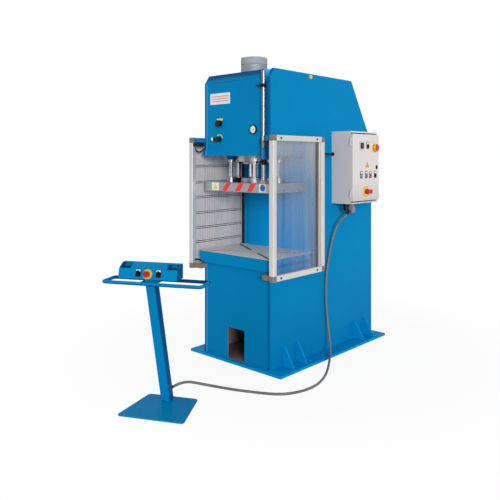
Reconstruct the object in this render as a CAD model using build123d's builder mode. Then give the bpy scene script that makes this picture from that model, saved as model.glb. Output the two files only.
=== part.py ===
# Open-front hydraulic press with side guards, control cabinet and a two-hand console on a pedestal.
# Millimetres. The origin is on the floor, in the middle of the four anchor holes.
# X runs along the press front, to the right of the operator, Y to the rear and Z up.
from build123d import *
from math import cos, radians, sin, tan
import os

os.makedirs("parts", exist_ok=True)

# Clearances
seat_gap = 0.3
fit_gap = 0.1
loose_gap = 0.6
edge_break = 2

# C-shaped frame
body_w = 700
side_t = 25
body_front = -710
body_rear = 686
head_z = 1598
head_h = 649
head_top = head_z + head_h
chamfer_h = 66
chamfer_l = 47
top_end_y = 361
slope_end_rise = 116
slope_end_z = head_z + slope_end_rise
throat_y = -218
throat_t = 20
throat_r = 40
wall_t = 15
sheet_t = 4

# Base plate and its gussets
anchor_side = 65
anchor_x = body_w / 2 + anchor_side
anchor_y = 478
anchor_hole_r = 13
base_side = 130
base_front_edge = 35
base_rear_edge = 19
base_w = body_w + 2 * base_side
base_front = body_front - base_front_edge
base_rear = body_rear + base_rear_edge
base_t = 20
gusset_t = 12
gusset_h = 150
gusset_w = 100
gusset_nose = 12
gusset_offset = 79

# Rear cover with its air slots
vent_w = 150
vent_h = 10
vent_pitch = 34
vent_rows = 6
vent_z = 420
cover_flange = 28

# Table
table_flare = 37
table_rim = 44
table_neck = 12
table_w = body_w + 2 * table_flare
table_top = 836
table_t = 89
table_nose = 30
table_front = body_front - table_nose
ledge_h = 10
ledge_t = 8
slot_w = 18
slot_lip = 14
slot_t_w = 30
slot_t_h = 12
slot_angle = 31
slot_start = 90

# Chute opening in the lower front
chute_w = 183
chute_h = 245
chute_r = 10

# Head floor, nose bar and the rod recess at its right end
floor_t = 45
nose_side = 8
nose_left = -body_w / 2 - nose_side
nose_t = 10
recess_w = 110
cover_right = body_w / 2 - recess_w
recess_depth = 70

# Hydraulic cylinder, centred over the table
cyl_y = -500
barrel_r = 105
bore_r = 80
barrel_rise = 68
barrel_top = head_top + barrel_rise
collar_r = 135
collar_t = 30
cap_h = 60
cap_spigot = 30
cap_groove = 5
cap_round = 6
gland_r = 145
gland_t = 45
gland_nose_r = 95
gland_nose_t = 18
gland_spigot = 40

# Ram set
rod_r = 42
piston_l = 90
piston_room = 35
piston_top = barrel_top - piston_room
foot_r = 107
foot_t = 35
ram_side = 10
ram_w = body_w + 2 * ram_side
ram_back = 11
ram_front = body_front + ram_back
ram_depth = 410
ram_drop = 279
ram_z = head_z - ram_drop
ram_t = 69
ram_edge = 3
tooling_x = 150
tooling_y = 100
tooling_r = 7
tooling_depth = 40
side_hole_pitch = 170
side_hole_r = 6
side_hole_depth = 25
side_hole_z = 18
side_hole_shift = 25
stop_flat = 1
column_share = 0.31142857
column_x = column_share * body_w
column_pitch = 84
column_r = 15
column_room = 67
column_top = head_top - column_room
flange_r = 36
flange_t = 38
boss_r = 38
boss_h = 30
bush_r = 25
bush_flange_r = 32
bush_flange_t = 22

# Stroke rod, its guide and its two clamped stops
stroke_side = 82
stroke_back = 20
stroke_x = body_w / 2 - stroke_side
stroke_y = body_front + stroke_back
stroke_r = 15
stroke_room = 18
stroke_top = head_top - stroke_room
guide_r = 21
guide_drop = 27
guide_z = head_z - guide_drop
guide_h = 86
guide_slot = 14
lug_w = 56
lug_back = 6
lug_front = body_front + lug_back
lug_depth = 70
lug_t = 18
nut_r = 22
nut_h = 12
stop_r = 20
upper_stop_drop = 139
upper_stop_z = head_top - upper_stop_drop
upper_stop_h = 25
lower_stop_h = 40
lever_hub_r = 9
lever_stand = 4
lever_plane = body_front - lever_stand
lever_t = 12
lever_l = 38
lever_bar_r = 4
lever_ball_r = 8

# Head controls and gauge
knob_side = 176
knob_rise = 255
knob_x = knob_side - body_w / 2
knob_z = head_z + knob_rise
knob_r = 26
knob_h = 26
knob_stand = 4
knob_grips = 8
knob_grip_r = 3
relief_side = 174
relief_rise = 132
lever_x = relief_side - body_w / 2
lever_z = head_z + relief_rise
relief_hub_r = 22
relief_arm_l = 62
relief_arm_r = 6
relief_ball_r = 17
spindle_r = 6
gauge_side = 52
gauge_rise = 197
gauge_x = cover_right - gauge_side
gauge_z = head_z + gauge_rise
gauge_body_r = 31
gauge_rim_r = 34
gauge_rim_t = 13
gauge_dial_r = 29
gauge_dial_depth = 7
gauge_body_l = 34
needle_l = 23
needle_w = 3
needle_t = 1.2
needle_start = 225
plug_y = -225
plug_drop = 25
plug_z = head_top - plug_drop
plug_r = 17
plug_t = 10
plug_stem_r = 10
plug_stem_l = 28

# Hydraulic unit inside the frame
tank_front_edge = 42
tank_rear_room = 21
tank_rise = 192
tank_room = 11
tank_front = throat_y - tank_front_edge
tank_rear = top_end_y - tank_rear_room
tank_z = head_z + tank_rise
tank_top = head_top - tank_room
tank_wall = 5
motor_r = 92
motor_l = 290
motor_y = 300
motor_axis_z = 190
plinth_w = 220
plinth_l = 420
pump_r = 55
pump_l = 130
motor_nose = 8
motor_nose_l = 20
pump_flange = 15
pump_flange_l = 25
valve_w = 110
valve_depth = 90
valve_h = 200

# Side guards
guard_side = 100
guard_front_edge = 81
guard_rear_edge = 51
guard_drop = 144
guard_rise = 148
guard_x = body_w / 2 + guard_side
guard_front = body_front - guard_front_edge
guard_rear = throat_y + guard_rear_edge
guard_z = table_top - guard_drop
guard_top = head_z + guard_rise
post_w = 40
rail_h = 42
rail_t = 36
corner_r = 4
groove_depth = 8
groove_slack = 0.3
panel_t = 10
bracket_t = 15
bracket_h = 34
bracket_reach = 55
bracket_y = body_front - bracket_reach
bracket_foot = 20
rear_bracket_w = 25
guard_bolt_front = 88
guard_bolt_rear = 101
guard_bolt_r = 7
guard_bolt_head = 5
guard_bolt_shank_r = 4
latch_drop = 134
latch_z = guard_top - latch_drop
latch_r = 8
latch_l = 134
latch_ball_r = 16
latch_depth = 20

# Control cabinet
cabinet_front_y = 70
cabinet_w = 405
cabinet_z = 1207
cabinet_h = 593
cabinet_depth = 185
cabinet_wall = 3
cabinet_lip = 12
door_t = 18
door_margin = 22
door_skin = 3
hinge_r = 5
hinge_pin_r = 2.5
hinge_l = 30
hinge_gap = 0.4
hinge_inset = 90
plate_gap = 8
plate_t = 3
plate_margin = 30
device_depth = 60
device_w = 45
device_h = 80
device_count = 5
device_pitch = 55
device_rows = 160
bezel_r = 14
bezel_h = 3
button_r = 10
button_h = 7
button_stem_r = 8
button_stem_l = 14
display_w = 72
display_t = 5
display_body = 62
display_body_l = 30
estop_r = 32
estop_h = 24
estop_neck_r = 11
estop_neck_h = 8
estop_round = 7
lock_r = 13
lock_h = 4
switch_hub_r = 22
switch_hub_h = 20
switch_grip_l = 70
switch_grip_w = 34
switch_grip_h = 24

# Places on the door: shares of the cabinet's width from its front edge, and of its height
# from its middle
display_share = (1 / 3, 0.301)
selector_share = (0.56, 0.294)
door_estop_share = (0.825, 0.2775)
lock_share = (0.91, 0)
switch_share = (0.496, -0.336)
row_share = -0.117
row_shares = (0.325, 0.505, 0.665, 0.85)

# Glands under the cabinet and the conduit down to the pedestal
gland_side = 90
gland_x = body_w / 2 + gland_side
gland_y = 143
cable_gland_r = 24
cable_gland_l = 62
cable_gland_step = 3
cable_gland_taper = 5
cable_gland_tip = 6
elbow_side = 120
elbow_x = body_w / 2 + elbow_side
elbow_y = 190
elbow_w = 38
elbow_h = 78
elbow_nut_r = 18
elbow_nut_h = 28
outlet_r = 14
outlet_l = 45
conduit_r = 9
# The way down: X from the right side plate, Y, and the height as a share of the cabinet's
conduit_drop = [
    (105, 165, 0.9387),
    (80, 108, 0.9022),
    (62, 60, 0.8542),
    (45, 32, 0.7986),
    (30, 4, 0.7),
    (23, -19, 0.5995),
    (22, -38, 0.537),
    (22, -45, 0.4626),
    (24, -48, 0.4108),
    (27, -50, 0.318),
    (36, -43, 0.2208),
    (60, -57, 0.1278),
    (100, -90, 0.039),
    (197, -241, 0.0116),
]
# The run over the floor
conduit_floor = [
    (669, -448, 9.4),
    (737, -620, 9.4),
    (752, -764, 9.4),
    (716, -899, 9.4),
    (652, -982, 9.4),
    (539, -1046, 9.4),
    (374, -1121, 9.4),
]
# The rise to the pedestal, with X and Y from the pedestal's place
conduit_rise = [
    (-3, 430, 10.5),
    (-48, 350, 38),
    (-55, 288, 62),
    (-49, 228, 76),
    (-50, 170, 76),
    (-61, 120, 63),
]

# Pedestal, turned towards the operator
pedestal_x = 209
pedestal_y = -1607
pedestal_turn = 26.6
foot_front_w = 440
foot_back_w = 345
foot_front = -205
foot_back = 152
foot_side = 20
foot_plate_t = 8
foot_chamfer = 14
column_foot_y = 101
column_lean = 226
column_rise = 789
column_w = 60
column_wall = 3
column_gland_l = 34
ring_z = 820
ring_w = 645
ring_side = 33
ring_front = -215
ring_rear = -65
ring_bar_r = 11
ring_bend = 22
strap_t = 6
strap_h = 24
console_z = 845
console_w = 388
console_front = -200
console_back = -100
console_lean = 16
console_lip = 60
shelf_drop = 15
hood_h = 89
hood_l = 34
hood_t = 3
hood_mid_w = 240
palm_x = 155
palm_y = -146
palm_r = 20
palm_h = 12
palm_neck_r = 10
palm_neck_h = 5
palm_stem_l = 12
palm_round_h = 4
palm_round_r = 5
console_estop_r = 20
console_selector_left = -62
console_selector_right = 72
console_control_h = 30
console_row_h = 40
selector_r = 12
selector_h = 14
selector_bar_w = 7
selector_bar_l = 22
selector_stem_r = 7

# Values worked out from the ones above
side_x = body_w / 2 - side_t
table_under = table_top - table_t
floor_top = head_z + floor_t
recess_y = body_front + recess_depth
front_cut = sheet_t + seat_gap
chamfer_slope = chamfer_h / chamfer_l
chamfer_shift = front_cut * (chamfer_h ** 2 + chamfer_l ** 2) ** 0.5 / chamfer_l
ram_top = ram_z + ram_t
ram_mid_y = ram_front + ram_depth / 2
guide_points = [(x, cyl_y + y) for x in (-column_x, column_x) for y in (-column_pitch / 2, column_pitch / 2)]
cabinet_x = body_w / 2
cabinet_mouth = cabinet_x + cabinet_depth
door_face = cabinet_mouth + door_t
cabinet_mid_y = cabinet_front_y + cabinet_w / 2
cabinet_mid_z = cabinet_z + cabinet_h / 2
cylinder_axis = Plane((0, cyl_y, 0))


def on_door(shares):
    # The (Y, Z) place of a fitting on the cabinet door
    return cabinet_front_y + shares[0] * cabinet_w, cabinet_mid_z + shares[1] * cabinet_h


display_y, display_z = on_door(display_share)
selector_y, selector_z = on_door(selector_share)
door_estop_y, door_estop_z = on_door(door_estop_share)
lock_y, lock_z = on_door(lock_share)
switch_y, switch_z = on_door(switch_share)
row_y = [on_door((share, row_share))[0] for share in row_shares]
row_z = cabinet_mid_z + row_share * cabinet_h
conduit_route = (
    [(body_w / 2 + x, y, share * cabinet_z) for x, y, share in conduit_drop]
    + conduit_floor
    + [(pedestal_x + x, pedestal_y + y, z) for x, y, z in conduit_rise]
)


def front_plane(x, y, z):
    # A plane on the press front: its x is the press X and its z points at the operator
    return Plane((x, y, z), x_dir=(1, 0, 0), z_dir=(0, -1, 0))


def side_plane(x, y, z):
    # A plane on the right-hand side: its x is the press Y and its z points to the right
    return Plane((x, y, z), x_dir=(0, 1, 0), z_dir=(1, 0, 0))


def turn(frame, outline):
    # Turns an outline of (radius, height) points about the z axis of the frame
    section = Plane(frame.origin, x_dir=frame.x_dir, z_dir=-frame.y_dir)
    with BuildSketch(section) as profile:
        with BuildLine():
            Polyline(*outline, close=True)
        make_face()
    revolve(profile.sketch, axis=Axis(frame.origin, frame.z_dir))


def drill(frame, radius, depth):
    # Cuts a round hole from the frame's origin against its z axis
    with BuildSketch(frame) as mouth:
        Circle(radius)
    extrude(mouth.sketch, amount=-depth, mode=Mode.SUBTRACT)


def disc(frame, radius, height):
    # Adds a round disc that stands on the frame
    with BuildSketch(frame) as face:
        Circle(radius)
    extrude(face.sketch, amount=height)


def block(frame, width, depth, height):
    # Adds a block centred on the frame's origin that stands on the frame
    with BuildSketch(frame) as face:
        Rectangle(width, depth)
    extrude(face.sketch, amount=height)


def folded(frame, outline, thickness, width):
    # Adds a folded sheet: its outline is offset to the right of its run and pulled along z
    with BuildSketch(frame) as profile:
        with BuildLine():
            Polyline(*outline)
            offset(amount=thickness, side=Side.RIGHT, kind=Kind.INTERSECTION)
        make_face()
    extrude(profile.sketch, amount=width)


def corner_radii(points, share=0.45):
    # The largest tangent arc at each inner point that its two runs leave room for
    radii = []
    for before, here, after in zip(points, points[1:], points[2:]):
        run_in = Vector(*here) - Vector(*before)
        run_out = Vector(*after) - Vector(*here)
        half_turn = radians(run_in.get_angle(run_out)) / 2
        radii.append(share * min(run_in.length, run_out.length) / tan(half_turn))
    return radii


# Base: one plate with two pairs of gussets along each side
gusset_outline = [
    (body_w / 2, base_t),
    (body_w / 2 + gusset_w, base_t),
    (body_w / 2 + gusset_w, base_t + gusset_nose),
    (body_w / 2 + gusset_nose, base_t + gusset_h),
    (body_w / 2, base_t + gusset_h),
]
with BuildPart() as base_plate:
    with BuildSketch(Plane.XY):
        with Locations((0, (base_front + base_rear) / 2)):
            Rectangle(base_w, base_rear - base_front)
        with GridLocations(2 * anchor_x, 2 * anchor_y, 2, 2):
            Circle(anchor_hole_r, mode=Mode.SUBTRACT)
    extrude(amount=base_t)
    for anchor in (-anchor_y, anchor_y):
        for shift in (-gusset_offset, gusset_offset):
            with BuildSketch(front_plane(0, anchor + shift + gusset_t / 2, 0)) as gusset:
                with BuildLine():
                    Polyline(*gusset_outline, close=True)
                make_face()
                mirror(about=Plane.YZ)
            extrude(gusset.sketch, amount=gusset_t)
base_plate.part.label = "base_plate"
export_step(base_plate.part, "parts/base_plate.step")

# Side plates: the C outline seen from the side, (Y, Z)
side_outline = [
    (body_front, base_t),
    (body_front, table_under),
    (throat_y, table_under),
    (throat_y, head_z),
    (body_front, head_z),
    (body_front, head_top - chamfer_h),
    (body_front + chamfer_l, head_top),
    (top_end_y, head_top),
    (body_rear, slope_end_z),
    (body_rear, base_t),
]
with BuildPart() as right_side_plate:
    with BuildSketch(side_plane(side_x, 0, 0)):
        with BuildLine():
            Polyline(*side_outline, close=True)
        make_face()
    extrude(amount=side_t)
    drill(side_plane(body_w / 2, plug_y, plug_z), plug_stem_r + seat_gap, side_t)
right_side_plate.part.label = "right_side_plate"
export_step(right_side_plate.part, "parts/right_side_plate.step")

with BuildPart() as left_side_plate:
    with BuildSketch(side_plane(-body_w / 2, 0, 0)):
        with BuildLine():
            Polyline(*side_outline, close=True)
        make_face()
    extrude(amount=side_t)
left_side_plate.part.label = "left_side_plate"
export_step(left_side_plate.part, "parts/left_side_plate.step")

# Lower front: a plate between the sides with the chute opening and a ledge under the table
with BuildPart() as lower_front_panel:
    with BuildSketch(front_plane(0, body_front + wall_t, 0)):
        with Locations((0, (base_t + table_under) / 2)):
            Rectangle(2 * side_x, table_under - base_t)
    extrude(amount=wall_t)
    with BuildSketch(front_plane(0, body_front, 0)) as chute:
        with Locations((0, base_t + chute_h / 2)):
            Rectangle(chute_w, chute_h)
        fillet(chute.vertices().group_by(Axis.Z)[-1], chute_r)
    extrude(amount=-wall_t, mode=Mode.SUBTRACT)
    with BuildSketch(front_plane(0, body_front, 0)) as ledge:
        with Locations((0, table_under - ledge_h / 2)):
            Rectangle(body_w, ledge_h)
    extrude(ledge.sketch, amount=ledge_t)
lower_front_panel.part.label = "lower_front_panel"
export_step(lower_front_panel.part, "parts/lower_front_panel.step")

# Table: a thick plate, its ends upright and then sloping in to the frame, with crossed T-slots
with BuildPart() as table_plate:
    with BuildSketch(front_plane(0, throat_y, 0)) as table_end:
        with BuildLine():
            Polyline(
                (-body_w / 2, table_under),
                (body_w / 2, table_under),
                (body_w / 2, table_under + table_neck),
                (table_w / 2, table_top - table_rim),
                (table_w / 2, table_top),
                (-table_w / 2, table_top),
                (-table_w / 2, table_top - table_rim),
                (-body_w / 2, table_under + table_neck),
                close=True,
            )
        make_face()
    extrude(amount=throat_y - table_front)
    slot_reach = table_w
    for arm in (slot_angle, 180 - slot_angle, 180 + slot_angle, -slot_angle):
        arm_mid = slot_start + slot_reach / 2
        arm_place = Location(
            (arm_mid * cos(radians(arm)), cyl_y + arm_mid * sin(radians(arm)), 0), (0, 0, arm)
        )
        with BuildSketch(Plane.XY.offset(table_top)) as slot_mouth:
            with Locations(arm_place):
                Rectangle(slot_reach, slot_w)
        extrude(slot_mouth.sketch, amount=-slot_lip - slot_t_h, mode=Mode.SUBTRACT)
        with BuildSketch(Plane.XY.offset(table_top - slot_lip)) as slot_foot:
            with Locations(arm_place):
                Rectangle(slot_reach, slot_t_w)
        extrude(slot_foot.sketch, amount=-slot_t_h, mode=Mode.SUBTRACT)
table_plate.part.label = "table_plate"
export_step(table_plate.part, "parts/table_plate.step")

# Throat: the wall behind the working space
with BuildPart() as throat_back_plate:
    with BuildSketch(front_plane(0, throat_y + throat_t, 0)):
        with Locations((0, (base_t + floor_top) / 2)):
            Rectangle(2 * side_x, floor_top - base_t)
    extrude(amount=throat_t)
throat_back_plate.part.label = "throat_back_plate"
export_step(throat_back_plate.part, "parts/throat_back_plate.step")

# Head floor: carries the cylinder, the four column bosses and the guide of the stroke rod
with BuildPart() as head_floor_plate:
    with BuildSketch(Plane.XY.offset(head_z)) as floor_face:
        with BuildLine():
            Polyline(
                (-side_x, throat_y),
                (-side_x, body_front),
                (cover_right, body_front),
                (cover_right, recess_y),
                (side_x, recess_y),
                (side_x, throat_y),
                close=True,
            )
        make_face()
    extrude(amount=floor_t)
    with BuildSketch(front_plane(0, body_front, 0)) as nose:
        with Locations(((nose_left + cover_right) / 2, head_z + floor_t / 2)):
            Rectangle(cover_right - nose_left, floor_t)
    extrude(nose.sketch, amount=nose_t)
    with BuildSketch(Plane.XY.offset(head_z)) as bosses:
        with Locations(*guide_points):
            Circle(boss_r)
    extrude(bosses.sketch, amount=-boss_h)
    with BuildSketch(Plane.XY.offset(guide_z)) as guide_tube:
        with Locations((stroke_x, stroke_y)):
            Circle(guide_r)
    extrude(guide_tube.sketch, amount=guide_h)
    with BuildSketch(Plane.XY.offset(head_z)) as web:
        with Locations((stroke_x, (stroke_y + recess_y) / 2)):
            Rectangle(guide_r, recess_y - stroke_y)
    extrude(web.sketch, amount=floor_t)
    with BuildSketch(Plane.XY.offset(floor_top)) as bores:
        with Locations((0, cyl_y)):
            Circle(barrel_r + seat_gap)
        with Locations(*guide_points):
            Circle(bush_r)
    extrude(bores.sketch, amount=-floor_t - boss_h, mode=Mode.SUBTRACT)
    with BuildSketch(Plane.XY.offset(guide_z)) as rod_way:
        with Locations((stroke_x, stroke_y)):
            Circle(stroke_r + fit_gap)
        with Locations((stroke_x, stroke_y - guide_r)):
            Rectangle(guide_slot, 2 * guide_r)
    extrude(rod_way.sketch, amount=guide_h, mode=Mode.SUBTRACT)
head_floor_plate.part.label = "head_floor_plate"
export_step(head_floor_plate.part, "parts/head_floor_plate.step")

# Head front cover: folded round the rod recess, its top edge cut to meet the sloping top sheet
with BuildPart() as head_front_cover:
    cover_left = -side_x + seat_gap
    folded(
        Plane.XY.offset(floor_top + seat_gap),
        [
            (side_x - seat_gap, recess_y),
            (cover_right, recess_y),
            (cover_right, body_front),
            (cover_left, body_front),
            (cover_left, recess_y),
        ],
        sheet_t,
        head_top - floor_top - seat_gap,
    )
    with BuildSketch(side_plane(-body_w / 2, 0, 0)) as trim:
        with BuildLine():
            Polyline(
                (body_front - nose_t, head_top - chamfer_h - nose_t * chamfer_slope - chamfer_shift),
                (body_front + chamfer_l + (chamfer_shift - front_cut) / chamfer_slope, head_top - front_cut),
                (recess_y + nose_t, head_top - front_cut),
                (recess_y + nose_t, head_top + nose_t),
                (body_front - nose_t, head_top + nose_t),
                close=True,
            )
        make_face()
    extrude(trim.sketch, amount=body_w, mode=Mode.SUBTRACT)
    for x, z, radius in (
        (knob_x, knob_z, spindle_r + loose_gap),
        (lever_x, lever_z, spindle_r + loose_gap),
        (gauge_x, gauge_z, gauge_body_r + seat_gap),
    ):
        drill(front_plane(x, body_front, z), radius, sheet_t)
head_front_cover.part.label = "head_front_cover"
export_step(head_front_cover.part, "parts/head_front_cover.step")

# Head top cover: one folded sheet over the chamfer, the top and the rear slope
with BuildPart() as head_top_cover:
    folded(
        side_plane(-side_x + seat_gap, 0, 0),
        [
            (body_front, head_top - chamfer_h),
            (body_front + chamfer_l, head_top),
            (top_end_y, head_top),
            (body_rear, slope_end_z),
        ],
        sheet_t,
        2 * (side_x - seat_gap),
    )
    with BuildSketch(Plane.XY.offset(head_top)) as cut_outs:
        with Locations((0, cyl_y)):
            Circle(barrel_r + seat_gap)
        with Locations(((cover_right + side_x) / 2, (body_front + recess_y) / 2)):
            Rectangle(side_x - cover_right, recess_depth)
    extrude(cut_outs.sketch, amount=-2 * chamfer_h, mode=Mode.SUBTRACT)
head_top_cover.part.label = "head_top_cover"
export_step(head_top_cover.part, "parts/head_top_cover.step")

# Rear cover: a tray with two columns of air slots for the motor
slope_run = body_rear - top_end_y
slope_fall = head_top - slope_end_z
rear_cover_top = slope_end_z - sheet_t * (slope_fall ** 2 + slope_run ** 2) ** 0.5 / slope_run
with BuildPart() as rear_cover:
    with BuildSketch(front_plane(0, body_rear, 0)):
        with Locations((0, (base_t + rear_cover_top) / 2)):
            Rectangle(2 * (side_x - seat_gap), rear_cover_top - base_t)
    extrude(amount=cover_flange)
    offset(
        amount=-sheet_t,
        openings=rear_cover.faces().sort_by(Axis.Y)[0],
        kind=Kind.INTERSECTION,
    )
    with BuildSketch(front_plane(0, body_rear, 0)) as vents:
        with Locations((0, vent_z)):
            with GridLocations(2 * vent_w, vent_pitch, 2, vent_rows):
                SlotOverall(vent_w, vent_h)
    extrude(vents.sketch, amount=sheet_t, mode=Mode.SUBTRACT)
rear_cover.part.label = "rear_cover"
export_step(rear_cover.part, "parts/rear_cover.step")

# Cylinder: a barrel with a seating collar, a closed cap and a bolted gland below the head
with BuildPart() as cylinder_barrel:
    turn(
        cylinder_axis,
        [
            (bore_r, head_z),
            (barrel_r, head_z),
            (barrel_r, floor_top),
            (collar_r, floor_top),
            (collar_r, floor_top + collar_t),
            (barrel_r, floor_top + collar_t),
            (barrel_r, barrel_top),
            (bore_r, barrel_top),
        ],
    )
cylinder_barrel.part.label = "cylinder_barrel"
export_step(cylinder_barrel.part, "parts/cylinder_barrel.step")

with BuildPart() as cylinder_cap:
    turn(
        cylinder_axis,
        [
            (0, barrel_top - cap_spigot),
            (bore_r - fit_gap, barrel_top - cap_spigot),
            (bore_r - fit_gap, barrel_top),
            (barrel_r - cap_groove, barrel_top),
            (barrel_r - cap_groove, barrel_top + cap_groove),
            (barrel_r, barrel_top + cap_groove),
            (barrel_r, barrel_top + cap_h),
            (0, barrel_top + cap_h),
        ],
    )
    fillet(cylinder_cap.edges().group_by(Axis.Z)[-1], cap_round)
cylinder_cap.part.label = "cylinder_cap"
export_step(cylinder_cap.part, "parts/cylinder_cap.step")

with BuildPart() as gland_flange:
    gland_bore = rod_r + fit_gap
    turn(
        cylinder_axis,
        [
            (gland_bore, head_z - gland_t - gland_nose_t),
            (gland_nose_r, head_z - gland_t - gland_nose_t),
            (gland_nose_r, head_z - gland_t),
            (gland_r, head_z - gland_t),
            (gland_r, head_z),
            (bore_r - fit_gap, head_z),
            (bore_r - fit_gap, head_z + gland_spigot),
            (gland_bore, head_z + gland_spigot),
        ],
    )
gland_flange.part.label = "gland_flange"
export_step(gland_flange.part, "parts/gland_flange.step")

# Four flanged bushes, pressed into the bosses from below
with BuildPart() as guide_bushes:
    for x, y in guide_points:
        turn(
            Plane((x, y, 0)),
            [
                (column_r + fit_gap, head_z - boss_h - bush_flange_t),
                (bush_flange_r, head_z - boss_h - bush_flange_t),
                (bush_flange_r, head_z - boss_h),
                (bush_r - fit_gap, head_z - boss_h),
                (bush_r - fit_gap, floor_top),
                (column_r + fit_gap, floor_top),
            ],
        )
guide_bushes.part.label = "guide_bushes"
export_step(guide_bushes.part, "parts/guide_bushes.step")

# Piston rod, turned in one with its piston and its foot flange
with BuildPart() as piston_rod:
    turn(
        cylinder_axis,
        [
            (0, ram_top),
            (foot_r, ram_top),
            (foot_r, ram_top + foot_t),
            (rod_r, ram_top + foot_t),
            (rod_r, piston_top - piston_l),
            (bore_r - fit_gap, piston_top - piston_l),
            (bore_r - fit_gap, piston_top),
            (0, piston_top),
        ],
    )
piston_rod.part.label = "piston_rod"
export_step(piston_rod.part, "parts/piston_rod.step")

# Ram plate with tapped tooling holes below and two in each end
with BuildPart() as ram_plate:
    block(Plane((0, ram_mid_y, ram_z)), ram_w, ram_depth, ram_t)
    chamfer(ram_plate.edges().filter_by(Axis.Z), ram_edge)
    for x in (-tooling_x, tooling_x):
        for y in (-tooling_y, tooling_y):
            below = Plane((x, cyl_y + y, ram_z), x_dir=(1, 0, 0), z_dir=(0, 0, -1))
            drill(below, tooling_r, tooling_depth)
    for side in (-1, 1):
        for shift in (-side_hole_pitch / 2, side_hole_pitch / 2):
            end = Plane(
                (side * ram_w / 2, cyl_y + side * (side_hole_shift + shift), ram_z + side_hole_z),
                x_dir=(0, 1, 0),
                z_dir=(side, 0, 0),
            )
            drill(end, side_hole_r, side_hole_depth)
ram_plate.part.label = "ram_plate"
export_step(ram_plate.part, "parts/ram_plate.step")

# Four guide columns with foot flanges
with BuildPart() as guide_columns:
    for x, y in guide_points:
        turn(
            Plane((x, y, 0)),
            [
                (0, ram_top),
                (flange_r, ram_top),
                (flange_r, ram_top + flange_t),
                (column_r, ram_top + flange_t),
                (column_r, column_top),
                (0, column_top),
            ],
        )
guide_columns.part.label = "guide_columns"
export_step(guide_columns.part, "parts/guide_columns.step")

# Stroke rod on its lug, with a nut
stroke_axis = Plane((stroke_x, stroke_y, 0))
with BuildPart() as stroke_rod:
    block(Plane((stroke_x, lug_front + lug_depth / 2, ram_top)), lug_w, lug_depth, lug_t)
    with BuildSketch(stroke_axis.offset(ram_top + lug_t)) as nut:
        RegularPolygon(nut_r, 6)
    extrude(nut.sketch, amount=nut_h)
    disc(stroke_axis.offset(ram_top + lug_t), stroke_r, stroke_top - ram_top - lug_t)
    chamfer(stroke_rod.edges().group_by(Axis.Z)[-1], edge_break)
stroke_rod.part.label = "stroke_rod"
export_step(stroke_rod.part, "parts/stroke_rod.step")


def stop_ring(z, height):
    # A clamping ring round the stroke rod, flat in front for its lever
    turn(
        stroke_axis.offset(z),
        [
            (stroke_r + fit_gap, 0),
            (stop_r, 0),
            (stop_r, height),
            (stroke_r + fit_gap, height),
        ],
    )
    front = front_plane(stroke_x, stroke_y - stroke_r - stop_flat, z + height / 2)
    disc(front, lever_hub_r, front.origin.Y - lever_plane - fit_gap)


def clamp_lever(z):
    # A lever that swings on the front of a stop, with a ball at its end
    hub = front_plane(stroke_x, lever_plane, z)
    disc(hub, lever_hub_r, lever_t)
    arm = Plane((stroke_x, lever_plane - lever_t / 2, z), x_dir=(0, 1, 0), z_dir=(-1, 0, 0))
    disc(arm, lever_bar_r, lever_l)
    with Locations(arm.offset(lever_l).location):
        Sphere(lever_ball_r)


lower_stop_z = guide_z - seat_gap - lower_stop_h
upper_lever_z = upper_stop_z + upper_stop_h / 2
lower_lever_z = lower_stop_z + lower_stop_h / 2

with BuildPart() as upper_stop:
    stop_ring(upper_stop_z, upper_stop_h)
upper_stop.part.label = "upper_stop"
export_step(upper_stop.part, "parts/upper_stop.step")

with BuildPart() as lower_stop:
    stop_ring(lower_stop_z, lower_stop_h)
lower_stop.part.label = "lower_stop"
export_step(lower_stop.part, "parts/lower_stop.step")

with BuildPart() as upper_lever:
    clamp_lever(upper_lever_z)
upper_lever.part.label = "upper_lever"
export_step(upper_lever.part, "parts/upper_lever.step")

with BuildPart() as lower_lever:
    clamp_lever(lower_lever_z)
lower_lever.part.label = "lower_lever"
export_step(lower_lever.part, "parts/lower_lever.step")

# Pressure gauge: a flanged case with a sunken dial, and its needle
gauge_face = front_plane(gauge_x, body_front, gauge_z)
dial_height = gauge_rim_t - gauge_dial_depth
with BuildPart() as gauge_case:
    turn(
        gauge_face,
        [
            (0, -gauge_body_l),
            (gauge_body_r, -gauge_body_l),
            (gauge_body_r, 0),
            (gauge_rim_r, 0),
            (gauge_rim_r, gauge_rim_t),
            (gauge_dial_r, gauge_rim_t),
            (gauge_dial_r, dial_height),
            (0, dial_height),
        ],
    )
    disc(gauge_face.offset(dial_height), needle_w / 2, needle_t)
gauge_case.part.label = "gauge_case"
export_step(gauge_case.part, "parts/gauge_case.step")

needle_frame = Plane(
    gauge_face.offset(dial_height + needle_t + fit_gap).origin,
    x_dir=(cos(radians(needle_start)), 0, sin(radians(needle_start))),
    z_dir=(0, -1, 0),
)
with BuildPart() as gauge_needle:
    with BuildSketch(needle_frame) as needle_face:
        Circle(needle_w)
        with BuildLine():
            Polyline(
                (0, -needle_w / 2),
                (needle_l, 0),
                (0, needle_w / 2),
                (-needle_l / 4, needle_w / 2),
                (-needle_l / 4, -needle_w / 2),
                close=True,
            )
        make_face()
    extrude(needle_face.sketch, amount=needle_t)
gauge_needle.part.label = "gauge_needle"
export_step(gauge_needle.part, "parts/gauge_needle.step")

# Valve block behind the cover, with the two spindles' seats
valve_z = (knob_z + lever_z) / 2
valve_front = body_front + sheet_t
with BuildPart() as valve_block:
    block(front_plane((knob_x + lever_x) / 2, valve_front + valve_depth, valve_z), valve_w, valve_h, valve_depth)
    for x, z in ((knob_x, knob_z), (lever_x, lever_z)):
        drill(front_plane(x, valve_front, z), spindle_r + fit_gap, valve_depth / 2)
valve_block.part.label = "valve_block"
export_step(valve_block.part, "parts/valve_block.step")

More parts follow.
